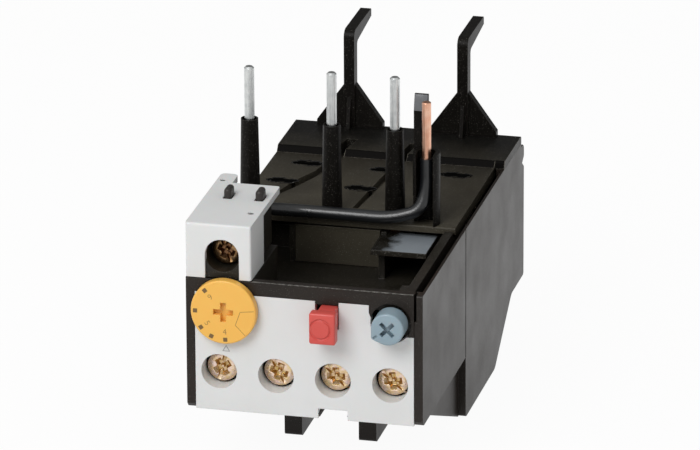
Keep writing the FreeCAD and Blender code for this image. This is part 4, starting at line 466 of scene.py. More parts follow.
# pale grey polycarbonate of the plate and the hood: matt, with a little light inside it
PALE_POLYCARBONATE = MouldedPlastic(
    "pale_polycarbonate", "#dcdddd", "#d8d9d8", "#e6e6e4", 0.44, grain_mm=0.3,
    grain_depth_mm=0.004, wear_and_glint=0.3, subsurface=0.06,
)
# the controls' polyacetal: waxy and even, from a polished tool
DIAL_POLYACETAL = MouldedPlastic(
    "dial_polyacetal", "#f0b956", "#edb451", "#f6cf86", 0.36, grain_depth_mm=0.003, wear_and_glint=0.35,
    subsurface=0.08,
)
BUTTON_POLYACETAL = MouldedPlastic(
    "button_polyacetal", "#cf5149", "#cb4b44", "#e28478", 0.38, grain_depth_mm=0.004, wear_and_glint=0.4,
    subsurface=0.05,
)
KNOB_POLYACETAL = MouldedPlastic(
    "knob_polyacetal", "#8fa3ad", "#879ba6", "#b7c6cd", 0.32, grain_depth_mm=0.003, wear_and_glint=0.45,
    subsurface=0.05,
)
# uncoloured nylon of the mechanism: milky, with light well inside it
NATURAL_NYLON = MouldedPlastic(
    "natural_nylon", "#d6cfbb", "#cfc7b0", "#e6e0cf", 0.45, grain_depth_mm=0.006, wear_and_glint=0.2,
    subsurface=0.1,
)
# soft PVC of the link wire, extruded: black with a broad uneven highlight
PVC_JACKET = MouldedPlastic(
    "pvc_jacket", "#0e0f10", "#15171a", "#2b2a28", 0.3, grain_mm=0.4, grain_depth_mm=0.03,
    edge_mm=0.05, wear_and_glint=0.1, ior=1.6,
)
# tin and zinc over steel: pale grey with fine draw marks
TINNED_STEEL = PlatedMetal(
    "tinned_steel", "#d3d6d6", "#e2e4e3", "#a9adad", 0.36, run_mm=3.0, edge_mm=0.05
)
ZINC_STEEL = PlatedMetal(
    "zinc_steel", "#a9aba8", "#bdbfba", "#84857f", 0.38, along=Axis.Y, run_mm=2.5
)
# yellow chromate over zinc: gold with rose and pale patches
YELLOW_CHROMATE = PlatedMetal(
    "yellow_chromate", "#ecd2a4", "#f3dcd0", "#c79a78", 0.27, along=Axis.X, line_mm=0.14,
    run_mm=1.0, patch_mm=0.9, depth_mm=0.008,
)
# where the driver doesn't touch it, the chromate stays thick and brown-gold, and the darker colour
# is also painted shade in the recess
RECESS_CHROMATE_AND_SHADE = PlatedMetal(
    "recess_chromate_and_shade", "#c9a868", "#dcc0a0", "#8c6a3c", 0.24, along=Axis.X, line_mm=0.14,
    run_mm=0.8, patch_mm=0.6, depth_mm=0.012,
)
# the coil screw's chromate, painted darker and browner as shade from the hood's arch over it, and
# darker again in its recess
COIL_SCREW_PAINTED_SHADE = PlatedMetal(
    "coil_screw_painted_shade", "#8f6c44", "#ab8c68", "#533620", 0.34, along=Axis.X, line_mm=0.14,
    run_mm=1.0, patch_mm=0.8, depth_mm=0.01,
)
COIL_RECESS_PAINTED_SHADE = PlatedMetal(
    "coil_recess_painted_shade", "#6e4c2a", "#86644a", "#3d2816", 0.36, along=Axis.X, line_mm=0.14,
    run_mm=0.8, patch_mm=0.6, depth_mm=0.01,
)
# copper bars behind the deck, coloured dark brown so that little of them shows
DULL_COPPER = PlatedMetal(
    "dull_copper", "#4a3428", "#5a4032", "#33241b", 0.5, line_mm=0.22, run_mm=6.0
)
# contact brass and terminal copper, bright from the roll and the die
BRIGHT_BRASS = PlatedMetal("bright_brass", "#c8a860", "#d2b36c", "#96783e", 0.3, along=Axis.Y)
DRAWN_COPPER = PlatedMetal(
    "drawn_copper", "#ebb498", "#f2c5ab", "#bf8166", 0.32, run_mm=9.0, line_mm=0.22, depth_mm=0.01
)
# bimetal keeps its rolling marks, and the heater's ribbon is dark with oxide
ROLLED_BIMETAL = PlatedMetal(
    "rolled_bimetal", "#948f86", "#a39d92", "#6f6a62", 0.36, along=Axis.Z
)
OXIDISED_RIBBON = PlatedMetal(
    "oxidised_ribbon", "#756c60", "#857a6b", "#4d463d", 0.48, along=Axis.X
)
DARK_INK = PrintedInk("dark_ink", "#6b5230", "#84683c")
FAINT_INK = PrintedInk("faint_ink", "#8f7038", "#b08c48")
GREY_INK = PrintedInk("grey_ink", "#8d9093", "#a3a6a8")


# ------------------------------------------------------------------ modelling by operators


def clear_selection() -> None:
    """Leaves edit mode and deselects all."""
    if bpy.context.object and bpy.context.object.mode != "OBJECT":
        bpy.ops.object.mode_set(mode="OBJECT")
    bpy.ops.object.select_all(action="DESELECT")


def take(*pieces: Piece) -> None:
    """Selects only these pieces and makes the first of them active.

    Args:
        pieces: the pieces.
    """
    clear_selection()
    for piece in pieces:
        piece.select_set(True)
    bpy.context.view_layer.objects.active = pieces[0]


def renamed(piece: Piece, name: str) -> Piece:
    """Names a piece and its mesh.

    Args:
        piece: the piece.
        name: their name.

    Returns:
        The same piece.
    """
    piece.name = name
    piece.data.name = name
    return piece


def started(name: str, operator: Callable[..., Any], **settings: Any) -> Piece:
    """Runs an add operator with nothing else selected.

    Args:
        name: name of the new piece.
        operator: the operator that adds it.
        settings: the operator's settings.

    Returns:
        The new piece.
    """
    clear_selection()
    operator(**settings)
    return renamed(bpy.context.object, name)


def edit(piece: Piece, step: Callable[[], None]) -> None:
    """Runs a step in edit mode on one piece with all of it selected.

    Args:
        piece: the piece.
        step: the step.
    """
    take(piece)
    bpy.ops.object.mode_set(mode="EDIT")
    bpy.ops.mesh.select_mode(type="FACE")
    bpy.ops.mesh.select_all(action="SELECT")
    step()
    bpy.ops.object.mode_set(mode="OBJECT")


def pick(piece: Piece, test: Callable[[bpy.types.MeshPolygon], bool]) -> None:
    """Enters edit mode with only the faces selected that pass a test.

    Args:
        piece: the piece.
        test: what a face has to pass.
    """
    edit(piece, lambda: bpy.ops.mesh.select_all(action="DESELECT"))
    for face in piece.data.polygons:
        face.select = test(face)
    bpy.ops.object.mode_set(mode="EDIT")


def inset_and_lift(inset: float, lift: float) -> None:
    """Insets the selected face and moves its middle up or down, in millimetres."""
    bpy.ops.mesh.inset(thickness=inset * MM)
    bpy.ops.transform.translate(value=(0.0, 0.0, lift * MM))


def settle(piece: Piece) -> Piece:
    """Applies a piece's place, so that its object sits at the origin.

    Args:
        piece: the piece.

    Returns:
        The same piece.
    """
    take(piece)
    bpy.ops.object.transform_apply(location=True, rotation=True, scale=True)
    return piece


def joined(name: str, pieces: Sequence[Piece]) -> Piece:
    """Joins pieces into one mesh.

    Args:
        name: name of the result.
        pieces: the pieces, which become one.

    Returns:
        The joined piece.
    """
    take(*pieces)
    bpy.ops.object.join()
    return renamed(pieces[0], name)


def modified(piece: Piece, kind: str, **settings: Any) -> None:
    """Adds a modifier and applies it.

    Args:
        piece: the piece.
        kind: the modifier's type.
        settings: its settings.
    """
    take(piece)
    modifier = piece.modifiers.new(kind.lower(), kind)
    for name, value in settings.items():
        setattr(modifier, name, value)
    bpy.ops.object.modifier_apply(modifier=modifier.name)


def smoothed(piece: Piece, angle: float = 35.0) -> Piece:
    """Shades a piece smooth except at its sharp edges.

    Args:
        piece: the piece.
        angle: the least turn of a sharp edge in degrees.

    Returns:
        The same piece.
    """
    take(piece)
    bpy.ops.object.shade_smooth_by_angle(angle=math.radians(angle))
    return piece


def twin_of(piece: Piece, name: str) -> Piece:
    """Copies a piece with a mesh of its own.

    Args:
        piece: the piece.
        name: the copy's name.

    Returns:
        The copy.
    """
    twin = piece.copy()
    twin.data = piece.data.copy()
    bpy.context.collection.objects.link(twin)
    return renamed(twin, name)


def finished(
    piece: Piece, finishes: Any, body: str = "housing"
) -> None:
    """Settles, paints and hangs a new piece on its body.

    Args:
        piece: the new piece.
        finishes: its finish, or several by the material index of its faces.
        body: the CAD body that it moves with.
    """
    settle(piece)
    finishes = finishes if isinstance(finishes, tuple) else (finishes,)
    indices = [face.material_index for face in piece.data.polygons]
    piece.data.materials.clear()
    for finish in finishes:
        piece.data.materials.append(RACK.get(finish))
    for face, index in zip(piece.data.polygons, indices):
        face.material_index = min(index, len(finishes) - 1)
    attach(piece, body)
    log.info("%s: %d faces on %s", piece.name, len(piece.data.polygons), body)


def dress(nodes: Sequence[str], finish: MouldedPlastic | PlatedMetal) -> None:
    """Gives CAD nodes a finish.

    Args:
        nodes: the nodes' names.
        finish: the finish that they share.
    """
    for node in nodes:
        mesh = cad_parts[node].data
        for index in range(len(mesh.materials)):
            mesh.materials[index] = RACK.get(finish)
        log.info("%s: %s", node, finish.name)


def numbered(name: str, count: int) -> list[str]:
    """Names of the CAD nodes that stand in a row, counted from 1."""
    return [f"{name}_{number}" for number in range(1, count + 1)]


def face_of(node: str) -> Vector:
    """Gives the middle of a CAD node's front face."""
    low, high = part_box(node)
    return Vector(((low.x + high.x) / 2.0, low.y, (low.z + high.z) / 2.0))


def spot(x: float, y: float, z: float) -> Vector:
    """Turns millimetres from the middle of the front plate's lower edge into the frame."""
    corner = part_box("front_plate")[0]
    return Vector((x * MM, corner.y + y * MM, corner.z + z * MM))


def shaped_block(name: str, low: Point, high: Point, soft: float = 0.0, segments: int = 2) -> Piece:
    """Cube drawn to two corners and rounded along its edges.

    Args:
        name: name of the piece.
        low: its lowest corner, in millimetres as spot takes them.
        high: its highest corner.
        soft: radius of its edges in millimetres.
        segments: facets of each rounded edge.

    Returns:
        The new piece.
    """
    a, b = spot(*low), spot(*high)
    cube = bpy.ops.mesh.primitive_cube_add
    piece = settle(started(name, cube, size=1.0, location=(a + b) / 2.0, scale=b - a))
    if soft:
        modified(piece, "BEVEL", width=soft * MM, segments=segments, limit_method="ANGLE")
    return piece


def combined(piece: Piece, others: Sequence[Piece], operation: str) -> Piece:
    """Carves other pieces out of a piece, or welds them to it, and clears them away.

    Args:
        piece: the piece that stays.
        others: the pieces used up.
        operation: "DIFFERENCE" or "UNION".

    Returns:
        The same piece.
    """
    for other in others:
        modified(piece, "BOOLEAN", object=other, operation=operation, solver="EXACT")
        bpy.data.objects.remove(other)
    return piece


def recast(node: str, name: str) -> Piece:
    """Copies a CAD node and joins its loose triangles, so that it can be reworked.

    Args:
        node: the CAD node's name.
        name: the copy's name.

    Returns:
        The copy, free of its body.
    """
    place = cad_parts[node].matrix_world.copy()
    piece = twin_of(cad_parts[node], name)
    piece.parent = None
    piece.matrix_world = place
    for key in list(piece.keys()):
        del piece[key]

    def weld() -> None:
        """Merges corners and flat neighbours."""
        bpy.ops.mesh.remove_doubles(threshold=0.0005 * MM)
        bpy.ops.mesh.customdata_custom_splitnormals_clear()
        bpy.ops.mesh.dissolve_limited(angle_limit=math.radians(0.6))

    edit(piece, weld)
    return settle(piece)


def reworked(
    node: str, name: str, finish: MouldedPlastic,
    fills: Sequence[Piece] = (), cuts: Sequence[Piece] = (),
) -> None:
    """Recasts a CAD node with pieces welded on and carved out, and puts it in the node's place.

    Args:
        node: the CAD node's name.
        name: the new piece's name.
        finish: its finish.
        fills: pieces welded to it, which are used up.
        cuts: pieces then carved out of it, which are used up.
    """
    piece = recast(node, name)
    combined(piece, fills, "UNION")
    combined(piece, cuts, "DIFFERENCE")
    finished(smoothed(piece), finish)
    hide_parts(node)


def facing_front(piece: Piece, place: Sequence[float], turn: float = 0.0) -> Piece:
    """Stands a piece made flat in XY up against the front plate.

    Args:
        piece: a piece that lies flat with its face up.
        place: where its middle goes in the frame.
        turn: its turn in degrees, counterclockwise seen from the front.

    Returns:
        The same piece.
    """
    settle(piece)
    upright = Matrix.Rotation(math.radians(90.0), 4, "X")
    turned = Matrix.Rotation(math.radians(turn), 4, "Z")
    piece.matrix_world = Matrix.Translation(place) @ upright @ turned
    return settle(piece)


def outline_of(piece: Piece, line: float, height: float) -> Piece:
    """Turns a flat face into a printed outline of itself.

    Args:
        piece: a flat mesh of one face.
        line: width of the line.
        height: thickness of the ink.

    Returns:
        The same piece.
    """

    def inset() -> None:
        """Insets the face and removes its middle."""
        bpy.ops.mesh.inset(thickness=line)
        bpy.ops.mesh.delete(type="FACE")

    edit(piece, inset)
    modified(piece, "SOLIDIFY", thickness=height, offset=0.0)
    return piece


# ------------------------------------------------------------------ sub-assemblies
# Sizes without MM are in millimetres, as spot takes them.


@dataclass
class Housing:
    """Tub, deck, recess and bezel, with the shelf in the recess and its painted sheen."""

    tub: tuple[str, ...] = ("base_housing", "front_bezel")
    dull: tuple[str, ...] = ("recess_liner", "contact_carrier", "coil_terminal_block")
    deck_top: float = 25.25
    step_front: float = 66.0
    latch: Block = ((2.7, -1.0, -2.0), (8.1, 5.4, 0.72))
    flush: Block = ((1.9, -1.2, 19.0), (6.75, -0.01, 26.0))
    neck: Block = ((1.9, -1.0, 19.0), (6.75, 2.6, 21.75))
    shelf: Block = ((6.3, 27.75, 22.6), (16.7, 38.0, 22.6))
    shelf_steps: tuple[tuple[float, float], ...] = ((0.12, 0.03), (0.2, 0.02))
    shelf_skin: float = 0.04
    flash: Block = ((-9.9, 0.02, 24.97), (20.7, 0.16, 25.06))
    flash_stray: float = 0.05
    slots: tuple[tuple[float, float], ...] = (
        (-17.45, 53.8), (-15.0, 64.3), (-1.85, 52.8), (0.6, 63.8), (14.3, 64.0),
    )
    slot_size: tuple[float, float] = (6.2, 3.0)
    slot_tear: float = 0.5
    lip_rise: float = 0.12
    lip_width: float = 0.12
    lip_slope: tuple[float, float] = (0.16, -0.05)

    def build(self) -> None:
        """Dresses the mouldings and reworks deck, floor, bezel, shelf and slots."""
        dress(self.tub, BLACK_POLYAMIDE)
        dress(self.dull, DULL_POLYAMIDE)
        self.recast_deck_and_paint_step_shade()
        # a tool latches in through the floor behind the plate's notch
        gap = shaped_block("latch_gap", *self.latch)
        reworked("base_housing", "tub_shell", BLACK_POLYAMIDE, cuts=[gap])
        # the bezel is flush over the button and clears its neck
        flush = shaped_block("flush_cut", *self.flush)
        neck = shaped_block("neck_cut", *self.neck)
        reworked("front_bezel", "bezel_band", BLACK_POLYAMIDE, cuts=[flush, neck])
        self.paint_shelf_sheen()
        self.leave_flash()
        self.rim_slots()

    def recast_deck_and_paint_step_shade(self) -> None:
        """Recasts the deck and paints the slope up to its rear near black as painted shade, with a
        painted highlight along its upper edge.
        """
        deck = recast("top_cover", "deck_cover")
        start = spot(0.0, self.step_front, self.deck_top)
        for face in deck.data.polygons:
            # the slope's faces take the painted shade
            slope = -0.97 < face.normal.y < -0.2 and face.normal.z > 0.1
            face.material_index = int(slope and face.center.y > start.y and face.center.z > start.z)
        finished(smoothed(deck), (DECK_POLYAMIDE, STEP_PAINTED_SHADE))
        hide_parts("top_cover")

    def paint_shelf_sheen(self) -> None:
        """Lays the shelf's face in the recess, with a pale painted reflection that fades into
        painted shade.
        """
        a, b = (spot(*corner) for corner in self.shelf)
        plane = bpy.ops.mesh.primitive_plane_add
        shelf = started("shelf_face", plane, size=1.0, location=(a + b) / 2.0)
        shelf.scale = (b.x - a.x, b.y - a.y, 1.0)
        settle(shelf)

        def crown() -> None:
            """Raises the middle a little above the rim."""
            for step in self.shelf_steps:
                inset_and_lift(*step)

        edit(shelf, crown)
        modified(shelf, "SOLIDIFY", thickness=self.shelf_skin * MM, offset=-1.0)
        finished(smoothed(shelf), SHELF_PAINTED_SHEEN)

    def leave_flash(self) -> None:
        """Leaves the ragged flash of the tool's parting line along the bezel's upper edge, with
        painted glints.
        """
        line = shaped_block("parting_flash", *self.flash)
        edit(line, lambda: bpy.ops.mesh.subdivide(number_cuts=3))

        def ragged() -> None:
            """Cuts the strip into short lengths and moves them unevenly."""
            bpy.ops.mesh.subdivide(number_cuts=9)
            bpy.ops.transform.vertex_random(offset=self.flash_stray * MM, seed=5)

        edit(line, ragged)
        finished(line, FLASH_PAINTED_GLINTS)

    def rim_slots(self) -> None:
        """Lays the torn lips that the tool's side cores leave over the deck's slots, near black
        with darker floors as painted shade.
        """
        circle = bpy.ops.mesh.primitive_circle_add
        rim = started("slot_lip", circle, vertices=36, radius=1.0 * MM, fill_type="NGON")
        rim.scale = (self.slot_size[0] / 2.0, self.slot_size[1] / 2.0, 1.0)
        settle(rim)

        def tear() -> None:
            """Tears the outline, raises it and sinks its middle."""
            bpy.ops.transform.vertex_random(offset=self.slot_tear * MM, seed=7)
            bpy.ops.transform.resize(value=(1.0, 1.0, 0.25))
            rise = (0.0, 0.0, self.lip_rise * MM)
            bpy.ops.mesh.extrude_region_move(TRANSFORM_OT_translate={"value": rise})
            bpy.ops.mesh.inset(thickness=self.lip_width * MM)
            inset_and_lift(*self.lip_slope)

        edit(rim, tear)
        rims = []
        for index, (x, y) in enumerate(self.slots):
            piece = twin_of(rim, f"slot_lip_{index}")
            piece.rotation_euler = (0.0, 0.0, math.pi * (index % 2))
            piece.location = spot(x, y, self.deck_top)
            rims.append(settle(piece))
        bpy.data.objects.remove(rim)
        lips = smoothed(joined("slot_lips", rims), 60.0)
        for face in lips.data.polygons:
            # only the floors have more than four corners
            face.material_index = int(len(face.vertices) > 4)
        finished(lips, (TORN_POLYAMIDE, SLOT_PAINTED_SHADE))


@dataclass
class FrontPlate:
    """Pale plate with its latch notch and the index over the screws."""

    mark_size: float = 0.85 * MM
    line: float = 0.13 * MM
    ink: float = 0.03 * MM
    below_dial: float = 1.75 * MM
    lip: Block = ((-20.8, 0.0, -0.93), (20.8, 0.9, 0.6))
    notch: Block = ((2.6, -0.5, -2.0), (8.2, 2.0, 0.98))

    def build(self) -> None:
        """Dresses the plate, draws its lower edge down, opens its notch and prints its index."""
        dress(("front_plate",), PALE_POLYCARBONATE)
        lip = shaped_block("plate_lip", *self.lip)
        notch = shaped_block("notch_cut", *self.notch)
        reworked("front_plate", "plate_face", PALE_POLYCARBONATE, [lip], [notch])
        self.print_index()

    def print_index(self) -> None:
        """Prints the outlined triangle under the dial."""
        circle = bpy.ops.mesh.primitive_circle_add
        mark = started("index_mark", circle, vertices=3, radius=self.mark_size, fill_type="NGON")
        outline_of(mark, self.line, self.ink)
        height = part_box("setting_dial")[0].z - self.below_dial
        facing_front(mark, (face_of("setting_dial").x, face_of("front_plate").y, height))
        finished(mark, GREY_INK)


@dataclass
class SettingDial:
    """Current dial: ticks, plain numbers and a bare boxed field, printed on its face.

    Angles are in degrees, counterclockwise from the right.
    """

    ticks: tuple[float, ...] = (130.5, 180.0, 217.0, 244.5, 274.0)
    numbers: tuple[tuple[str, float], ...] = (("6", 130.5), ("5", 217.0), ("4", 274.0))
    tick_r: float = 5.35 * MM
    tick_size: float = 0.8 * MM
    number_r: float = 3.85 * MM
    number_height: float = 1.12 * MM
    size_to_height: float = 1.4
    number_thinning: float = -0.012 * MM
    ink: float = 0.03 * MM
    line: float = 0.1 * MM
    field_from: float = 7.0
    field_to: float = -46.0
    field_inner: float = 2.9 * MM
    field_margin: float = 0.3 * MM
    middle: Vector = field(init=False)
    rim: float = field(init=False)

    def __post_init__(self) -> None:
        """Takes the face's middle and radius from the dial."""
        low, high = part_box("setting_dial")
        self.middle = face_of("setting_dial")
        self.rim = (high.x - low.x) / 2.0

    def build(self) -> None:
        """Dresses the dial and prints its scale."""
        dress(("setting_dial",), DIAL_POLYACETAL)
        dress(("setting_cam",), NATURAL_NYLON)
        self.print_ticks()
        self.print_numbers()
        self.print_field()

    def at(self, radius: float, angle: float) -> Point:
        """Gives the point on the face at a radius and an angle.

        Args:
            radius: distance from the middle.
            angle: its angle.

        Returns:
            Its place in the frame.
        """
        a = math.radians(angle)
        x, y, z = self.middle
        return x + radius * math.cos(a), y, z + radius * math.sin(a)

    def print_ticks(self) -> None:
        """Prints the square ticks along the rim."""
        first = started("tick", bpy.ops.mesh.primitive_plane_add, size=self.tick_size)

        def rounded() -> None:
            """Rounds the square's corners as the ink does."""
            bpy.ops.mesh.select_mode(type="VERT")
            bpy.ops.mesh.select_all(action="SELECT")
            bpy.ops.mesh.bevel(offset=self.tick_size * 0.1, segments=2, affect="VERTICES")

        edit(first, rounded)
        modified(first, "SOLIDIFY", thickness=self.ink, offset=0.0)
        pieces = [
            facing_front(twin_of(first, f"tick_{index}"), self.at(self.tick_r, angle), angle)
            for index, angle in enumerate(self.ticks)
        ]
        bpy.data.objects.remove(first)
        finished(joined("dial_ticks", pieces), DARK_INK, "dial")

    def print_numbers(self) -> None:
        """Prints the numbers, their feet towards the rim."""
        pieces = []
        for text, angle in self.numbers:
            letter = started(f"number_{text}", bpy.ops.object.text_add)
            letter.data.body = text
            letter.data.size = self.number_height * self.size_to_height
            letter.data.align_x = "CENTER"
            letter.data.align_y = "CENTER"
            letter.data.extrude = self.ink / 2.0
            letter.data.offset = self.number_thinning
            take(letter)
            bpy.ops.object.convert(target="MESH")
            place = self.at(self.number_r, angle)
            pieces.append(facing_front(bpy.context.object, place, angle + 90.0))
        finished(joined("dial_numbers", pieces), FAINT_INK, "dial")

    def print_field(self) -> None:
        """Prints the outline of the boxed field at the right."""
        radius = self.rim - self.field_margin
        circle = bpy.ops.mesh.primitive_circle_add
        disc = started("dial_field", circle, vertices=120, radius=radius, fill_type="NGON")
        middle = (self.field_from + self.field_to) / 2.0
        cuts = (
            (self.field_from + 90.0, 0.0),
            (self.field_to - 90.0, 0.0),
            (middle + 180.0, self.field_inner),
        )
        for heading, offset in cuts:
            a = math.radians(heading)
            normal = Vector((math.cos(a), math.sin(a), 0.0))
            beyond = {"plane_co": -normal * offset, "plane_no": normal, "clear_outer": True}

            def cut(settings: dict[str, Any] = beyond) -> None:
                """Cuts away what lies beyond the plane."""
                bpy.ops.mesh.bisect(**settings)

            edit(disc, cut)
        outline_of(disc, self.line, self.ink)
        # the dial's own edge closes the field, so the line along it goes
        pick(disc, lambda face: face.center.length > radius - self.line)
        bpy.ops.mesh.delete(type="FACE")
        clear_selection()
        facing_front(disc, self.middle)
        finished(disc, FAINT_INK, "dial")


@dataclass
class Controls:
    """Stop button, reset knob and the levers behind them."""

    cap: Block = ((2.1, -5.0, 15.65), (7.06, -2.6, 21.75))
    cap_soft: float = 0.42
    neck: Block = ((3.2, -2.8, 17.5), (6.45, 2.1, 21.6))
    neck_soft: float = 0.3
    ring: Point = (4.28, -5.0, 18.6)
    ring_r: float = 1.9
    ring_line: float = 0.24

    def build(self) -> None:
        """Dresses the controls and models the stop button."""
        dress(("test_button",), BUTTON_POLYACETAL)
        dress(("test_plunger", "reset_collar"), NATURAL_NYLON)
        dress(("reset_knob",), KNOB_POLYACETAL)
        dress(("setting_lever",), ZINC_STEEL)
        self.make_stop_button()

    def make_stop_button(self) -> None:
        """Models the cap with its ring groove and the neck behind it."""
        cap = shaped_block("stop_button", *self.cap, self.cap_soft, 4)
        groove = started(
            "ring_groove", bpy.ops.mesh.primitive_torus_add, major_radius=self.ring_r * MM,
            minor_radius=self.ring_line * MM, major_segments=64, minor_segments=10,
        )
        combined(cap, [facing_front(groove, spot(*self.ring))], "DIFFERENCE")
        neck = shaped_block("stop_neck", *self.neck, self.neck_soft, 3)
        combined(cap, [neck], "UNION")
        finished(smoothed(cap), BUTTON_POLYACETAL, "stop_button")
        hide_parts("test_button")


@dataclass
class TerminalHood:
    """Pale hood over the coil terminal, and the two posts that stand through its roof."""

    slots: tuple[float, float] = (-19.1, -13.0)
    slot_width: float = 2.5
    slot_rows: tuple[float, float] = (13.7, 21.85)
    roof: tuple[float, float] = (34.62, 35.8)
    posts: tuple[float, float] = (-18.05, -12.0)
    post_half: float = 0.72
    post_rows: tuple[float, float] = (13.9, 17.1)
    post_top: float = 37.7
    post_foot: float = 0.6
    post_soft: float = 0.66
    hole_room: Point = (0.16, 0.1, 0.25)
    hole_proud: float = 1.0
    hole_soft: float = 0.3
    pits: tuple[Point, ...] = ((-21.3, 23.55, 0.5), (-11.75, 7.25, 0.55))
    pit_taper: tuple[float, float] = (0.75, 1.25)
    pit_depth: float = 2.4
    pit_middle: float = 0.9
    floor_share: float = 1.05
    floor_height: float = 0.8
    floor_middle: float = 0.62
    dish_share: float = 0.5
    dish: float = -0.15
    rib_low: tuple[float, float] = (-22.0, 5.0)
    rib_high: Point = (-10.5, 23.0, 38.0)
    rib_drop: float = 0.15

    def build(self) -> None:
        """Dresses the terminal and recasts its hood and insert."""
        dress(("terminal_cover",), PALE_POLYCARBONATE)
        dress(("coil_terminal_bar",), TINNED_STEEL)
        dress(("coil_clamp",), ZINC_STEEL)
        self.close_roof()
        self.lay_pit_shade_floors()
        # the insert's ribs end below the roof
        foot = (*self.rib_low, self.roof[0] - self.rib_drop)
        above = shaped_block("rib_cut", foot, self.rib_high)
        reworked("coil_terminal_block", "hood_insert", DULL_POLYAMIDE, cuts=[above])
        self.raise_posts()

    def lay_pit_shade_floors(self) -> None:
        """Lays a dished dark floor in each of the roof's two pits, as painted shade inside them."""
        floors = []
        for x, y, radius in self.pits:
            floor = started(
                "pit_shade_floor", bpy.ops.mesh.primitive_cylinder_add, vertices=24,
                radius=radius * self.floor_share * MM, depth=self.floor_height * MM,
                location=spot(x, y, self.roof[1] - self.floor_middle),
            )
            pick(floor, lambda face: face.normal.z > LEVEL)
            inset_and_lift(radius * self.dish_share, self.dish)
            floors.append(settle(floor))
        finished(smoothed(joined("pit_shade_floors", floors)), POST_POLYAMIDE)

    def close_roof(self) -> None:
        """Fills the roof round the posts and deepens the two pits."""
        (low, high), (front, back), half = self.roof, self.slot_rows, self.slot_width / 2.0
        fills = [
            shaped_block("roof_fill", (x - half, front, low), (x + half, back, high))
            for x in self.slots
        ]
        narrow, wide = self.pit_taper
        wells = [
            started(
                "pit", bpy.ops.mesh.primitive_cone_add, vertices=24, radius1=radius * narrow * MM,
                radius2=radius * wide * MM, depth=self.pit_depth * MM,
                location=spot(x, y, high - self.pit_middle),
            )
            for x, y, radius in self.pits
        ]
        side, before, behind = self.hole_room
        reach, (front, back) = self.post_half + side, self.post_rows
        for x in self.posts:
            start = (x - reach, front - before, low - self.hole_proud)
            end = (x + reach, back + behind, high + self.hole_proud)
            wells.append(shaped_block("post_hole", start, end, self.hole_soft))
        reworked("terminal_cover", "hood_shell", PALE_POLYCARBONATE, fills, wells)

    def raise_posts(self) -> None:
        """Stands the two rounded posts in the roof."""
        front, back = self.post_rows
        for number, x in enumerate(self.posts, 1):
            low = (x - self.post_half, front, self.roof[0] - self.post_foot)
            high = (x + self.post_half, back, self.post_top)
            post = shaped_block(f"roof_post_{number}", low, high, self.post_soft, 5)
            finished(smoothed(post), POST_POLYAMIDE)


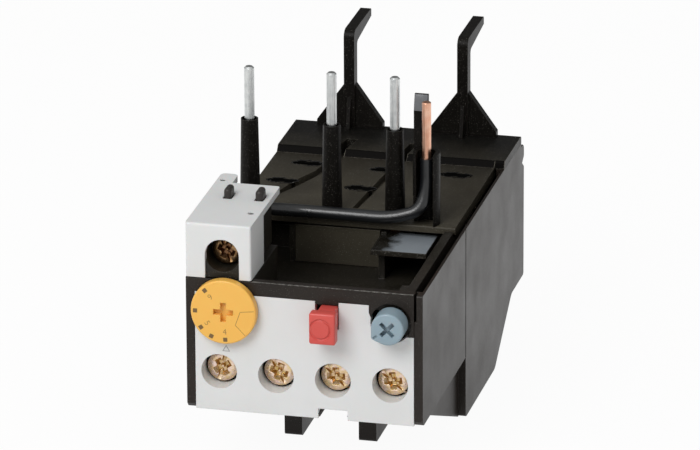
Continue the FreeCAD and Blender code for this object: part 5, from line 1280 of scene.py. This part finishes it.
@dataclass
class DriveScrew:
    """Combination screw: domed pan head with a cross over a straight slot, and a threaded shank.

    A pair of radii is at the lower and the upper end, as shares of the head's radius. A bar is
    half its length and half its width, as such shares, and its depth.
    """

    name: str
    head_r: float
    head_h: float
    shank_r: float
    pitch: float = 0.7
    crown: float = 0.5
    dome: tuple[tuple[float, float], ...] = ((0.09, 0.42), (0.16, 0.33), (0.25, 0.2), (0.25, 0.05))
    bars: tuple[tuple[Point, float], ...] = (
        ((1.3, 0.16, 0.8), 0.0), ((0.74, 0.27, 1.1), 45.0), ((0.74, 0.27, 1.1), 135.0),
    )
    bar_proud: float = 0.5
    bar_foot: float = 0.5
    well_r: tuple[float, float] = (0.14, 0.46)
    well_depth: float = 1.7
    well_middle: float = -0.43
    well_turn: float = 7.0
    pip_r: tuple[float, float] = (0.2, 0.07)
    pip_height: float = 0.9
    pip_middle: float = -0.95
    thread_root: float = 0.84
    soft: float = 0.05
    soft_angle: float = 38.0
    unworn_and_shaded_r: float = 0.97
    unworn_and_shaded_depth: float = 0.12
    back_skin: float = 0.05

    def build(self, length: float) -> Piece:
        """Models the screw with its crown at the origin and its shank down.

        Args:
            length: its whole length in millimetres.

        Returns:
            The screw.
        """
        rim = self.head_h - self.crown
        screw = settle(started(
            self.name, bpy.ops.mesh.primitive_cylinder_add, vertices=48, radius=self.head_r * MM,
            depth=rim * MM, location=(0.0, 0.0, -(self.crown + rim / 2.0) * MM),
        ))
        pick(screw, lambda face: face.normal.z > LEVEL)
        for inset, rise in self.dome:
            inset_and_lift(self.head_r * inset, self.crown * rise)
        clear_selection()
        self.cut_recess(screw)
        self.turn_shank(screw, length)
        modified(
            screw, "BEVEL", width=self.soft * MM, segments=2, limit_method="ANGLE",
            angle_limit=math.radians(self.soft_angle),
        )
        self.mark_recess(screw)
        return smoothed(screw, 40.0)

    def cone(
        self, name: str, radii: tuple[float, float], height: float, middle: float, **settings: Any
    ) -> Piece:
        """Cone on the screw's axis.

        Args:
            name: name of the piece.
            radii: its lower and upper radius as shares of the head's.
            height: its height.
            middle: height of its middle over the crown.
            settings: the operator's other settings.

        Returns:
            The new piece.
        """
        return settle(started(
            name, bpy.ops.mesh.primitive_cone_add, radius1=self.head_r * radii[0] * MM,
            radius2=self.head_r * radii[1] * MM, depth=height * MM,
            location=(0.0, 0.0, middle * MM), **settings,
        ))

    def wedge(self, long: float, wide: float, depth: float, turn: float) -> Piece:
        """Tapered bar that cuts one arm of the recess.

        Args:
            long: half its length as a share of the head's radius.
            wide: half its width as such a share.
            depth: how deep it cuts.
            turn: its turn in degrees.

        Returns:
            The cutter.
        """
        corner = math.sqrt(2.0)
        height = depth + self.bar_proud
        piece = settle(started(
            "drive_cut", bpy.ops.mesh.primitive_cone_add, vertices=4,
            radius1=corner * self.bar_foot, radius2=corner, depth=height * MM,
            rotation=(0.0, 0.0, math.radians(45.0)),
        ))
        piece.scale = (self.head_r * long * MM, self.head_r * wide * MM, 1.0)
        piece.location = (0.0, 0.0, (self.bar_proud - height / 2.0) * MM)
        settle(piece)
        piece.rotation_euler = (0.0, 0.0, math.radians(turn))
        return settle(piece)

    def cut_recess(self, screw: Piece) -> None:
        """Cuts the straight slot, the cross and its round middle, and stands the pip in it.

        Args:
            screw: the screw.
        """
        cuts = [self.wedge(*bar, turn) for bar, turn in self.bars]
        # the well has no edge in line with a bar's, which the exact cut wouldn't survive
        cuts.append(self.cone(
            "drive_cut", self.well_r, self.well_depth, self.well_middle, vertices=22,
            rotation=(0.0, 0.0, math.radians(self.well_turn)),
        ))
        combined(screw, cuts, "DIFFERENCE")
        pip = self.cone("drive_pip", self.pip_r, self.pip_height, self.pip_middle, vertices=16)
        joined(self.name, [screw, pip])

    def turn_shank(self, screw: Piece, length: float) -> None:
        """Draws the shank out of the head's back and rolls its thread.

        Args:
            screw: the screw.
            length: its whole length in millimetres.
        """
        back = -(self.head_h - 0.1) * MM
        pick(screw, lambda face: face.normal.z < -LEVEL and face.center.z < back)
        bpy.ops.mesh.inset(thickness=(self.head_r - self.shank_r) * MM)
        step = (0.0, 0.0, -self.pitch / 2.0 * MM)
        for _ in range(int((length - self.head_h) / self.pitch)):
            for scale in (self.thread_root, 1.0 / self.thread_root):
                bpy.ops.mesh.extrude_region_move(TRANSFORM_OT_translate={"value": step})
                bpy.ops.transform.resize(value=(scale, scale, 1.0))
        clear_selection()

    def mark_recess(self, screw: Piece) -> None:
        """Gives the walls and floor of the recess the darker plating: thicker where unworn, and
        partly painted shade.

        Args:
            screw: the screw.
        """
        back, floor = -(self.head_h - self.back_skin) * MM, -(self.crown + self.unworn_and_shaded_depth) * MM
        for face in screw.data.polygons:
            middle = face.center
            off_axis = math.hypot(middle.x, middle.y)
            inside = off_axis < self.head_r * self.unworn_and_shaded_r * MM and middle.z > back
            face.material_index = int(inside and (middle.z < floor or face.normal.z < 0.62))


@dataclass
class ScrewTerminals:
    """Coil, auxiliary and main screws with their clamps and bars."""

    aux_turns: tuple[float, ...] = (76.0, 118.0, 136.0, 141.0)
    main_turns: tuple[float, ...] = (28.0, 96.0, 151.0)
    coil_turn: float = 112.0

    def build(self) -> None:
        """Dresses the terminals and models their screws."""
        dress(numbered("aux_clamp", 4) + numbered("main_clamp", 3), ZINC_STEEL)
        dress(("nc_contact_bars", "no_contact_bars"), BRIGHT_BRASS)
        dress(("load_bars",), DRAWN_COPPER)
        dress(numbered("line_bar", 3), DULL_COPPER)
        aux = DriveScrew("aux_drive", 2.9, 1.7, 1.5)
        main_size = DriveScrew("main_drive", 3.4, 2.6, 2.0, 0.8)
        coil = DriveScrew("coil_drive", 2.8, 1.7, 1.5)
        worn, coil_painted_shade = (YELLOW_CHROMATE, RECESS_CHROMATE_AND_SHADE), (COIL_SCREW_PAINTED_SHADE, COIL_RECESS_PAINTED_SHADE)
        self.fit_screws("aux_screw", aux, self.aux_turns, worn)
        self.fit_screws("main_screw", main_size, self.main_turns, worn)
        self.fit_screws("coil_screw", coil, (self.coil_turn,), coil_painted_shade)

    def fit_screws(
        self, node: str, drive: DriveScrew, turns: Sequence[float], finishes: tuple[Any, ...]
    ) -> None:
        """Models one screw and puts a copy in each of its terminals.

        Args:
            node: the CAD nodes' name, without its number where there are several.
            drive: the screw.
            turns: turn of each copy in degrees.
            finishes: plating of the head and of its recess; the recess's darker colour is partly
                painted shade, and the coil screw's pair is painted shade from the arch.
        """
        names = [node] if len(turns) == 1 else numbered(node, len(turns))
        low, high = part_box(names[0])
        first = drive.build((high.y - low.y) / MM)
        for name, turn in zip(names, turns):
            piece = facing_front(twin_of(first, f"{name}_drive"), face_of(name), turn)
            finished(piece, finishes, name)
            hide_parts(name)
        bpy.data.objects.remove(first)


@dataclass
class PolePins:
    """Pole pins in their sleeves."""

    def build(self) -> None:
        """Dresses pins and sleeves."""
        dress(numbered("pole_pin", 3), TINNED_STEEL)
        dress(("pin_sleeves",), HOOK_POLYAMIDE)


@dataclass
class LinkWire:
    """Link wire, its bare end and its guide."""

    slope: Block = ((11.75, 39.44, 46.65), (14.25, 40.2, 49.74))
    slope_skin: float = 0.14
    slope_soft: float = 0.05

    def build(self) -> None:
        """Dresses wire and guide."""
        dress(("link_wire",), PVC_JACKET)
        dress(("link_wire_core",), DRAWN_COPPER)
        dress(("wire_guide",), HOOK_POLYAMIDE)
        self.paint_blade_sheen()

    def paint_blade_sheen(self) -> None:
        """Lays a skin on the slope of the guide's blade, grey as a painted reflection."""
        start, (right, back, high) = self.slope
        front = start[1]
        slope = shaped_block("blade_lead_in", start, (right, front + self.slope_skin, high))
        pick(slope, lambda face: face.normal.z > LEVEL)
        bpy.ops.transform.translate(value=(0.0, (back - front) * MM, 0.0))
        clear_selection()
        modified(slope, "BEVEL", width=self.slope_soft * MM, segments=2, limit_method="ANGLE")
        finished(smoothed(slope), BLADE_PAINTED_SHEEN)


@dataclass
class MountingHooks:
    """Rear hooks with their gussets."""

    def build(self) -> None:
        """Dresses the hooks."""
        dress(("mounting_hooks",), HOOK_POLYAMIDE)


@dataclass
class TripMechanism:
    """Bimetal strips, slide, levers and contact blades inside the tub."""

    def build(self) -> None:
        """Dresses the mechanism."""
        dress(numbered("bimetal_strip", 3) + ["compensating_strip"], ROLLED_BIMETAL)
        dress(numbered("heater_winding", 3), OXIDISED_RIBBON)
        dress(("trip_slide", "trip_lever", "trip_rocker"), NATURAL_NYLON)
        dress(("nc_contact_blade", "no_contact_blade"), BRIGHT_BRASS)


# ------------------------------------------------------------------ studio


def heading(azimuth: float, elevation: float) -> Vector:
    """Gives the direction from the relay to something round it.

    Args:
        azimuth: its place in radians, 0 in front and a quarter turn at the right.
        elevation: its height in radians.

    Returns:
        A vector of length 1.
    """
    flat = math.cos(elevation)
    return Vector((math.sin(azimuth) * flat, -math.cos(azimuth) * flat, math.sin(elevation)))


@dataclass
class Studio:
    """Pale floor, soft light and the camera.

    Angles are in degrees, and azimuth is 0 in front and 90 at the right.
    """

    azimuth: float = 13.6
    elevation: float = 20.4
    roll: float = -0.27
    distance: float = 1325.0 * MM
    across: float = 8.416 * MM
    up: float = 34.76 * MM
    lens: float = 367.35
    sensor: float = 36.0
    far_clip: float = 20.0
    origin: Point = (0.0, -46.25 * MM, 13.2 * MM)
    white: str = "#ffffff"
    key_power: float = 4.45
    key_azimuth: float = -20.0
    key_elevation: float = 41.0
    key_distance: float = 0.9
    key_size: float = 0.45
    key_aim: Point = (0.0, 0.0, 0.03)
    ambient: float = 0.52
    mirrored_front: float = 0.7
    mirrored_back: float = 0.12
    wall_fade: tuple[float, float] = (0.15, 0.85)
    floor_size: float = 6.0
    floor_colours: tuple[str, str] = ("#e6e5e4", "#ecebea")
    floor_cloud_mm: float = 240.0
    floor_seen: float = 0.95
    floor_front: float = 0.5
    floor_back: float = 1.0
    floor_fade: tuple[float, float] = (-40.0 * MM, 50.0 * MM)

    def build(self) -> None:
        """Makes floor, world, lamp and camera."""
        bpy.context.scene.view_settings.view_transform = "Standard"
        self.make_floor()
        self.make_world()
        self.make_key()
        self.make_camera()

    def fade(
        self, tree: Tree, coords: str, ends: tuple[float, float], front: float, back: float
    ) -> Socket:
        """Fades a value from the front of the studio to its back.

        Args:
            tree: the node tree.
            coords: which texture coordinates give the place.
            ends: where along Y the fade starts and ends.
            front: the value at the front.
            back: the value at the back.

        Returns:
            The value's socket.
        """
        source = add_node(tree, "ShaderNodeTexCoord").outputs[coords]
        place = add_node(tree, "ShaderNodeSeparateXYZ", {0: source}).outputs["Y"]
        values = {0: place, 1: ends[0], 2: ends[1], 3: front, 4: back}
        return add_node(tree, "ShaderNodeMapRange", values).outputs[0]

    def make_floor(self) -> None:
        """Lays a wide pale floor that shows white and keeps a soft shadow."""
        floor = started("floor", bpy.ops.mesh.primitive_plane_add, size=self.floor_size)
        edit(floor, lambda: bpy.ops.mesh.subdivide(number_cuts=3))
        material, tree, surface = new_material("pale_floor")
        first, second = (linear(colour) for colour in self.floor_colours)
        sheet = {0: grain(tree, (self.floor_cloud_mm,) * 3), 6: first, 7: second}
        shade = add_node(tree, "ShaderNodeMix", sheet, data_type="RGBA").outputs[2]
        paint = add_node(tree, "ShaderNodeBsdfDiffuse", {"Color": shade})
        light = {"Color": linear(self.white), "Strength": 1.0}
        glow = add_node(tree, "ShaderNodeEmission", light)
        path = add_node(tree, "ShaderNodeLightPath").outputs
        rays = {0: path["Is Camera Ray"], 1: self.floor_seen}
        seen = add_node(tree, "ShaderNodeMath", rays, operation="MULTIPLY")
        # a dark flag stands in front of the table, so the sheet mirrors less towards the front
        flagged = self.fade(tree, "Object", self.floor_fade, self.floor_front, self.floor_back)
        bounced = {0: path["Is Glossy Ray"], 1: path["Is Transmission Ray"]}
        mirror = add_node(tree, "ShaderNodeMath", bounced, operation="MAXIMUM")
        factors = {0: mirror.outputs[0], 1: flagged}
        shiny = add_node(tree, "ShaderNodeMath", factors, operation="MULTIPLY")
        terms = {0: seen.outputs[0], 1: shiny.outputs[0]}
        total = add_node(tree, "ShaderNodeMath", terms, operation="ADD")
        layers = {0: total.outputs[0], 1: paint.outputs[0], 2: glow.outputs[0]}
        mixed = add_node(tree, "ShaderNodeMixShader", layers)
        tree.links.new(mixed.outputs[0], surface)
        floor.data.materials.append(material)

    def make_world(self) -> None:
        """Sets a white world that lights the relay softly."""
        world = bpy.data.worlds.new("white_room")
        bpy.context.scene.world = world
        world.use_nodes = True
        tree = world.node_tree
        tree.nodes.clear()
        path = add_node(tree, "ShaderNodeLightPath").outputs
        bounced = {0: path["Is Glossy Ray"], 1: path["Is Transmission Ray"]}
        glossy = add_node(tree, "ShaderNodeMath", bounced, operation="MAXIMUM")
        # the wall behind is dark to reflections, the ceiling and the sides are pale
        ends = (self.mirrored_front, self.mirrored_back)
        wall = self.fade(tree, "Generated", self.wall_fade, *ends)
        kinds = {0: glossy.outputs[0], 2: self.ambient, 3: wall}
        lit = add_node(tree, "ShaderNodeMix", kinds, data_type="FLOAT")
        shown = {0: path["Is Camera Ray"], 2: lit.outputs[0], 3: 1.0}
        strength = add_node(tree, "ShaderNodeMix", shown, data_type="FLOAT")
        light = {"Color": linear(self.white), "Strength": strength.outputs[0]}
        sky = add_node(tree, "ShaderNodeBackground", light)
        output = add_node(tree, "ShaderNodeOutputWorld")
        tree.links.new(sky.outputs[0], output.inputs["Surface"])

    def make_key(self) -> None:
        """Adds the soft square lamp, aimed at the relay."""
        clear_selection()
        back = heading(math.radians(self.key_azimuth), math.radians(self.key_elevation))
        light = bpy.data.lights.new("key", "AREA")
        light.energy = self.key_power
        light.size = self.key_size
        lamp = bpy.data.objects.new("key", light)
        bpy.context.collection.objects.link(lamp)
        lamp.location = back * self.key_distance + Vector(self.key_aim)
        lamp.rotation_mode = "QUATERNION"
        lamp.rotation_quaternion = back.to_track_quat("Z", "Y")

    def make_camera(self) -> None:
        """Places the camera."""
        a, e, r = (math.radians(v) for v in (self.azimuth, self.elevation, self.roll))
        back = heading(a, e)
        right = Vector((math.cos(a), math.sin(a), 0.0))
        up = back.cross(right)
        cos, sin = math.cos(r), math.sin(r)
        right, up = cos * right + sin * up, -sin * right + cos * up
        data = bpy.data.cameras.new("camera")
        data.lens = self.lens
        data.sensor_width = self.sensor
        data.clip_end = self.far_clip
        camera = bpy.data.objects.new("camera", data)
        bpy.context.collection.objects.link(camera)
        place = Vector(self.origin) + back * self.distance + right * self.across + up * self.up
        turned = Matrix((right, up, back)).transposed().to_4x4()
        camera.matrix_world = Matrix.Translation(place) @ turned
        bpy.context.scene.camera = camera


def main() -> None:
    """Builds the relay's looks in order."""
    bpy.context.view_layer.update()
    parts = (
        Studio(),
        Housing(),
        FrontPlate(),
        SettingDial(),
        Controls(),
        TerminalHood(),
        ScrewTerminals(),
        PolePins(),
        LinkWire(),
        MountingHooks(),
        TripMechanism(),
    )
    for part in parts:
        log.info("%s", type(part).__name__)
        part.build()
    clear_selection()


if __name__ == "__main__":
    main()
